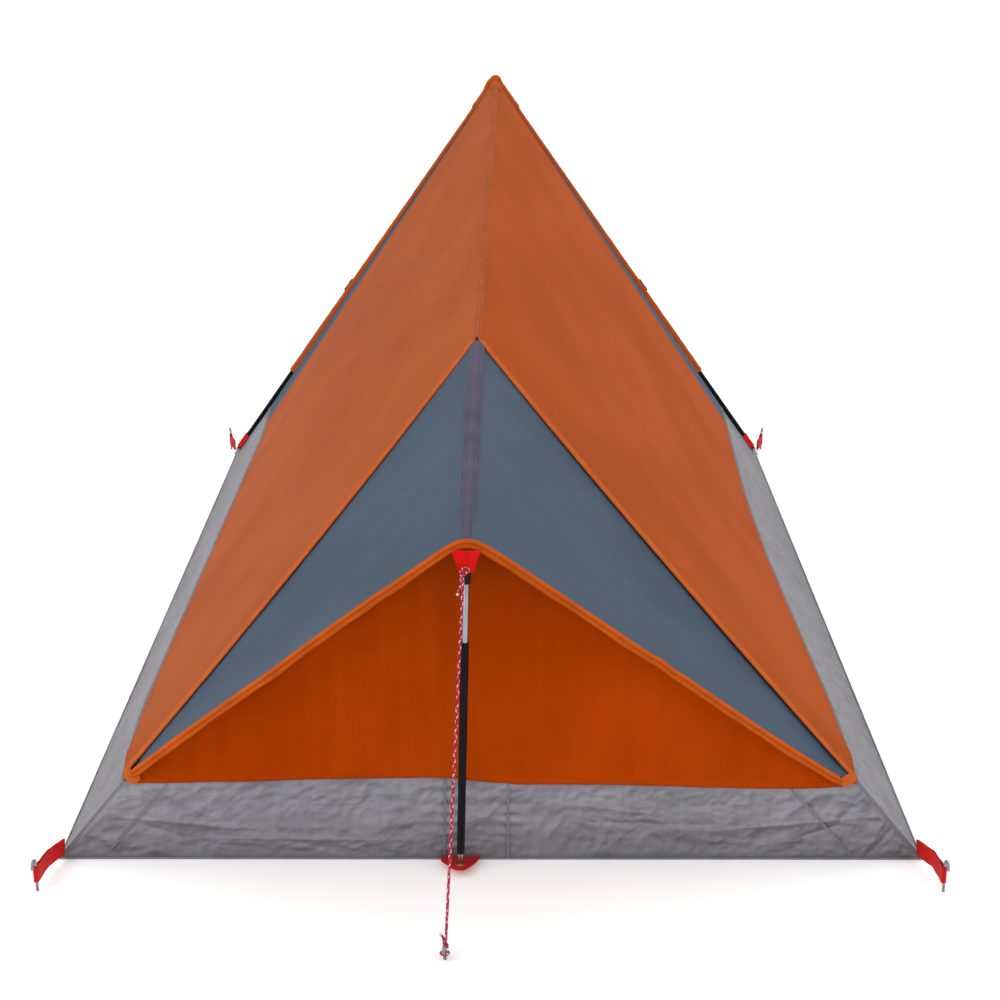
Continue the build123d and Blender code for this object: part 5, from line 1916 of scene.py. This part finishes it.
def rear_foot_tab():
    """Folded kite of webbing that runs out under the pole, with an eyelet."""
    normal = unit(vec(0, 0.18, 1))
    along = unit(np.cross(normal, RIGHT))
    origin = vec(-42, -FLOOR_END - 4, 3.2)

    def tab_point(x, y, z):
        x, y, z = np.broadcast_arrays(x, y, z)
        return origin + x[..., None] * RIGHT + y[..., None] * along + z[..., None] * normal

    # the eyelet sits where the leaning pole comes down
    pole = vec(-42, -995, 0) + unit(vec(11, -3, 455)) * 8 - origin
    hole = vec(pole @ RIGHT, pole @ along)
    outline = np.array(FOOT_TAB, float)
    outline = resample(np.concatenate([outline, outline[:1]]), 1.6)[:-1]
    turn = np.arctan2(outline[:, 1] - hole[1], outline[:, 0] - hole[0])
    mouth = hole + 4.2 * pack(np.cos(turn), np.sin(turn))
    share = span(16)
    flat = lerp(mouth[:, None], outline[:, None], share[None, :])
    flat = np.concatenate([flat, flat[:1]])
    x, y = flat[..., 0], flat[..., 1]
    z = (1.5 + 0.5 * noise(x / 14, y / 14, 711) * share[None]
         + 1.6 * smooth(16, 28, np.abs(x)) * smooth(-30, -2, y) + 0.5 * (share[None] > 0.93))
    # painted shade on the end of the tab next to the band
    tab = sheet(tab_point(x, y, z), 1.3, normal, uv=flat * MM, tone=1 - 0.25 * smooth(-12, 3, y))
    inset = outline * 0.88 + hole * 0.12
    edge = tab_point(inset[:, 0], inset[:, 1], 2.0)
    row = stitches(np.concatenate([edge, edge[:1]]), normal, FOOT_TAB_ROW)
    build("rear_foot_tab_webbing", tab, RED, "rear_foot_tab", weld=True)
    build("rear_foot_tab_stitching", row, THREAD_R)
    build("rear_foot_eyelet_grommet", grommet(tab_point(*hole, 0.75), normal, 3.35, 6.3, 1.5),
          BRASS, "rear_foot_eyelet")


def rear_top_tab():
    """Trapezoid of bright webbing behind the pole cap, with an eyelet."""
    u, v = np.linspace(-1, 1, 44)[:, None], span(34)
    middle, hole_z = EAVE_TOP[0], 452
    height = 478.5 - 31.0 * v
    half = 20.0 - 10.8 * v ** 0.9
    x = u * half[None] + middle
    z = height[None] + 0 * x
    y = (-1008.6 - 0.7 * noise(x / 9, z / 12, 721)
         - 1.2 * (1 - np.abs(u)) ** 1.5 * np.sin(PI * v)[None] - 0.5 * (np.abs(u) > 0.9))
    keep = np.hypot(x - middle, z - hole_z) > 3.0
    mask = keep[:-1, :-1] & keep[1:, :-1] & keep[:-1, 1:] & keep[1:, 1:]
    # painted shade down the middle behind the pole top, and towards the bottom
    tone = (1 - 0.22 * bell(x, middle, 3.4) * smooth(1.0, 0.2, v)[None]
            - 0.12 * smooth(0.75, 1, v)[None])
    tab = sheet(pack(x, y, z), 1.2, REARWARD, mask=mask, uv=pack(x, z) * MM, tone=tone)
    rows = [stitches(pack(middle + sign * half * 0.84, -1010.0, height), REARWARD, TOP_TAB_ROW)
            for sign in (-1, 1)]
    build("rear_top_tab_webbing", tab, RED_TOP, "rear_top_tab", weld=True)
    build("rear_top_tab_stitching", rows, THREAD_R)
    eyelet = grommet((middle, -1010.2, hole_z), REARWARD, 2.6, 4.7, 1.3)
    build("rear_top_eyelet_grommet", eyelet, BRASS, "rear_top_eyelet")


def peak_loop():
    """Webbing loop on the front of the peak cap."""
    cos, sin = np.cos(angles(59)), np.sin(angles(59))
    y = 953 - 1.0 + np.sign(cos) * np.abs(cos) ** 0.75 * 9.6
    z = 862 + np.sign(sin) * np.abs(sin) ** 0.8 * (3.7 + 1.2 * cos)
    prof = [(-0.3, -5), (-0.7, -4.6), (-0.6, 0), (-0.7, 4.6), (-0.3, 5), (0.3, 5),
            (0.7, 4.6), (0.6, 0), (0.7, -4.6), (0.3, -5)]
    build("peak_loop_webbing", sweep(pack(0, y, z), prof, RIGHT, closed=True), RED,
          "peak_loop")


rear_foot_tab()
rear_top_tab()
peak_loop()


# ---------------------------------------------------------------- guy lines
def cord(path, radius):
    """Braided cord whose cover swells where the strands cross."""
    step = 0.9
    path = resample(path, step)
    dist = np.arange(len(path))[:, None] * step
    turn = angles(14)
    twist = 2 * PI * dist / 6.3
    braid = np.sin(3 * turn[None] + twist) * np.sin(3 * turn[None] - twist)
    radii = radius * (1 + 0.03 * braid)
    for k, factor in ((0, 0.55), (-1, 0.55), (1, 0.9), (-2, 0.9)):
        radii[k] *= factor
    prof = pack(radii * np.cos(turn), radii * np.sin(turn))
    return sweep(path, prof, vec(0.99, 0.1, 0.05), uv_round=1.0)


def spiral(centre, axis, radius, turns, rise, start):
    axis = unit(axis)
    ref = vec(0.2, 0.3, 0.9)
    first = unit(ref - ref @ axis * axis)
    second = np.cross(axis, first)
    t = span(60)[:, None]
    turn = start + 2 * PI * turns * t
    return (centre + axis * (rise * (t - 0.5))
            + radius * (np.cos(turn) * first + np.sin(turn) * second))


def guy_line(name, top, peg, sag, aside, loop, loop_radius):
    """Cord from a knot at top to an eye round the peg; tails lie to the aside direction."""
    flat = unit((peg - top) * vec(1, 1, 0))
    hitch = peg - flat * 5.2
    run = unit(hitch - top)
    main = resample([top + run * 2, hitch - run * 9], 6)
    main[:, 2] -= sag * np.sin(PI * span(len(main)))
    beside = unit(np.cross(run, UP))
    # the cord wraps round itself at the top, then its tail lies beside it
    top_tail = rounded_path([top + run * 5 + aside * 2.2, top + run * 17 + aside * 2.9,
                             top + run * 25 + aside * 4.6,
                             top + run * 31 + aside * 6.8 + vec(0, 0, 0.6)], 8, 1.5)
    turn = np.linspace(-PI * 0.96, PI * 0.96, 40)[:, None]
    eye = peg + np.cos(turn) * flat * 5.0 + np.sin(turn) * np.cross(UP, flat) * 5.0
    low_tail = rounded_path([hitch - run * 10 + aside * 2.2, hitch - run * 18 + aside * 4.0,
                             hitch - run * 22 + aside * 8 - UP], 6, 1.5)
    parts = [
        cord(main, 1.9),
        cord(spiral(top + run * 1.0, run, radius=3.4, turns=2.3, rise=5.4, start=0.6), 2.2),
        cord(spiral(top - run * 0.5, beside + run * 0.25, radius=3.4, turns=1.1, rise=5.0,
                    start=2.0), 2.1),
        cord(top_tail, 1.7),
        cord(rounded_path(loop, loop_radius, 0.8), 1.6),
        cord(eye, 1.8),
        cord(spiral(hitch - run * 7.0, run, radius=2.5, turns=2.2, rise=6.0, start=0.2), 1.75),
        cord(low_tail, 1.6)]
    build(f"{name}_guy_cord", parts, CORD, f"{name}_guy_line", angle=60)
    tips = []
    for tail in (top_tail, low_tail):
        way = unit(tail[-1] - tail[-2])
        stations = tail[-1] + way * vec(-2.4, -1.2, 0.3, 0.8)[:, None]
        tips.append(tube(stations, [1.75, 1.8, 1.65, 0.9], 12, uv_round=1.0))
    build(f"{name}_guy_cord_tips", tips, CORD_END)


def guy_lines():
    top = vec(-34.5, -1017.5, 452.0)
    through_eyelet = [top + vec(1.5, 0, -1), vec(-29.0, -1012.2, 455.5),
                      vec(-31, -1007.4, 454.5), vec(-33.0, -1011.6, 455.0),
                      top + vec(-1.5, 0, 0.5)]
    guy_line("rear", top, vec(-57, -1226, 9), sag=2.0, aside=-RIGHT, loop=through_eyelet,
             loop_radius=3.5)
    ring = vec(0, 942.5 + 20.7, 862)
    top = ring + vec(0, 12, -2)
    through_ring = [top + vec(1.6, 0, 0), ring + vec(2.0, 4.0, 4.5), ring + vec(0.5, -3.5, 1.5),
                    ring + vec(-1.5, 2.0, -4.0), top + vec(-1.6, 0, -1.0)]
    guy_line("front", top, vec(0, 1570, 9), sag=5.0, aside=RIGHT, loop=through_ring,
             loop_radius=4)
    turn = angles(49)
    path = ring + 8.0 * pack(np.cos(turn), np.sin(turn), 0)
    build("front_guy_ring", tube(path, 1.5, 14, ref=UP, closed=True), BRASS)


guy_lines()

# ------------------------------------------- CAD pieces that keep their shape
KEPT = [
    (POLE_BLACK, ["leg_left_lower", "leg_left_upper", "leg_right_lower", "leg_right_upper",
                  "rear_pole_lower"]),
    (POLE_SILVER, ["rear_pole_inner"]),
    (ALU, ["leg_ferrules"]),
    (STEEL, ["leg_tips", "rear_pole_spike"]),
    (BLACK, ["peak_hub", "rear_pole_cap", "rear_pole_bush", "shock_cords"]),
    (ZINC, ["zip_slider", "zip_pull"]),
    (PEG, ["peg_rear_left", "peg_rear_right", "peg_front_left", "peg_front_right",
           "peg_rear_guy", "peg_front_guy"]),
]
for kept_mat, kept_names in KEPT:
    for kept_name in kept_names:
        piece = NODES[kept_name]
        if not piece.material_slots:
            piece.data.materials.append(kept_mat)
        for mat_slot in piece.material_slots:
            mat_slot.material = kept_mat
for kept_name in ("zip_slider", "zip_pull"):
    bevel = NODES[kept_name].modifiers.new("edge", "BEVEL")
    bevel.width = 0.00022
    bevel.segments = 2
    bevel.limit_method = "ANGLE"
    bevel.angle_limit = math.radians(40)


# ---------------------------------------------- floor, light and camera, metres
def studio_floor():
    g = Graph("pale_studio_floor")
    place = g.place()
    blotch = g.ramp(g.noise(place, scale=2.0, detail=4, rough=0.6), low=0.3, high=0.7)
    colour = g.mix(blotch, (0.93, 0.93, 0.93, 1), (0.96, 0.96, 0.96, 1))
    normal = g.bump(g.noise(place, scale=220.0, detail=3), strength=0.05, distance=0.0004)
    g.done(colour, 0.75, normal, spec=0.2)
    g.shader.inputs["Emission Color"].default_value = (1.0, 1.0, 1.0, 1)
    g.shader.inputs["Emission Strength"].default_value = 0.12
    mesh = bpy.data.meshes.new("studio_floor")
    half = 60.0
    mesh.from_pydata([(-half, -half, 0), (half, -half, 0), (half, half, 0), (-half, half, 0)],
                     [], [(0, 1, 2, 3)])
    mesh.materials.append(g.material)
    floor = bpy.data.objects.new("studio_floor", mesh)
    bpy.context.scene.collection.objects.link(floor)


def area_light(name, place, target, size, power, colour=(1, 1, 1)):
    light = bpy.data.lights.new(name, "AREA")
    light.shape = "DISK"
    light.size = size
    light.energy = power
    light.color = colour
    obj = bpy.data.objects.new(name, light)
    aim = unit(vec(*target) - vec(*place))
    obj.rotation_euler = Vector(aim).to_track_quat("-Z", "Y").to_euler()
    obj.location = place
    bpy.context.scene.collection.objects.link(obj)


def studio_light():
    world = bpy.data.worlds.new("studio")
    world.use_nodes = True
    background = world.node_tree.nodes["Background"]
    background.inputs[0].default_value = (1.0, 1.0, 1.0, 1)
    background.inputs[1].default_value = 1.0
    bpy.context.scene.world = world
    area_light("key_left", place=(-3.4, -3.0, 3.6), target=(0, -0.2, 0.4), size=2.6, power=62.0,
               colour=(1.0, 0.985, 0.97))
    area_light("fill_right", place=(3.6, -2.6, 2.6), target=(0, -0.2, 0.4), size=3.0,
               power=16.0, colour=(0.97, 0.985, 1.0))
    area_light("top", place=(0.2, 0.3, 4.6), target=(0, 0, 0.3), size=3.2, power=22.0)
    area_light("door_end", place=(1.4, 4.4, 2.8), target=(0, 0.6, 0.4), size=2.8, power=40.0)


def studio_camera():
    scene = bpy.context.scene
    camera = bpy.data.cameras.new("camera")
    camera.lens = 70.98
    camera.sensor_width = 36
    camera.clip_end = 200
    obj = bpy.data.objects.new("camera", camera)
    obj.location = (0.0181, -3.4389, 1.3606)
    obj.rotation_euler = (math.radians(71.524), 0, math.radians(0.112))
    scene.collection.objects.link(obj)
    scene.camera = obj
    scene.view_settings.view_transform = "Standard"
    scene.view_settings.look = "None"


studio_floor()
studio_light()
studio_camera()
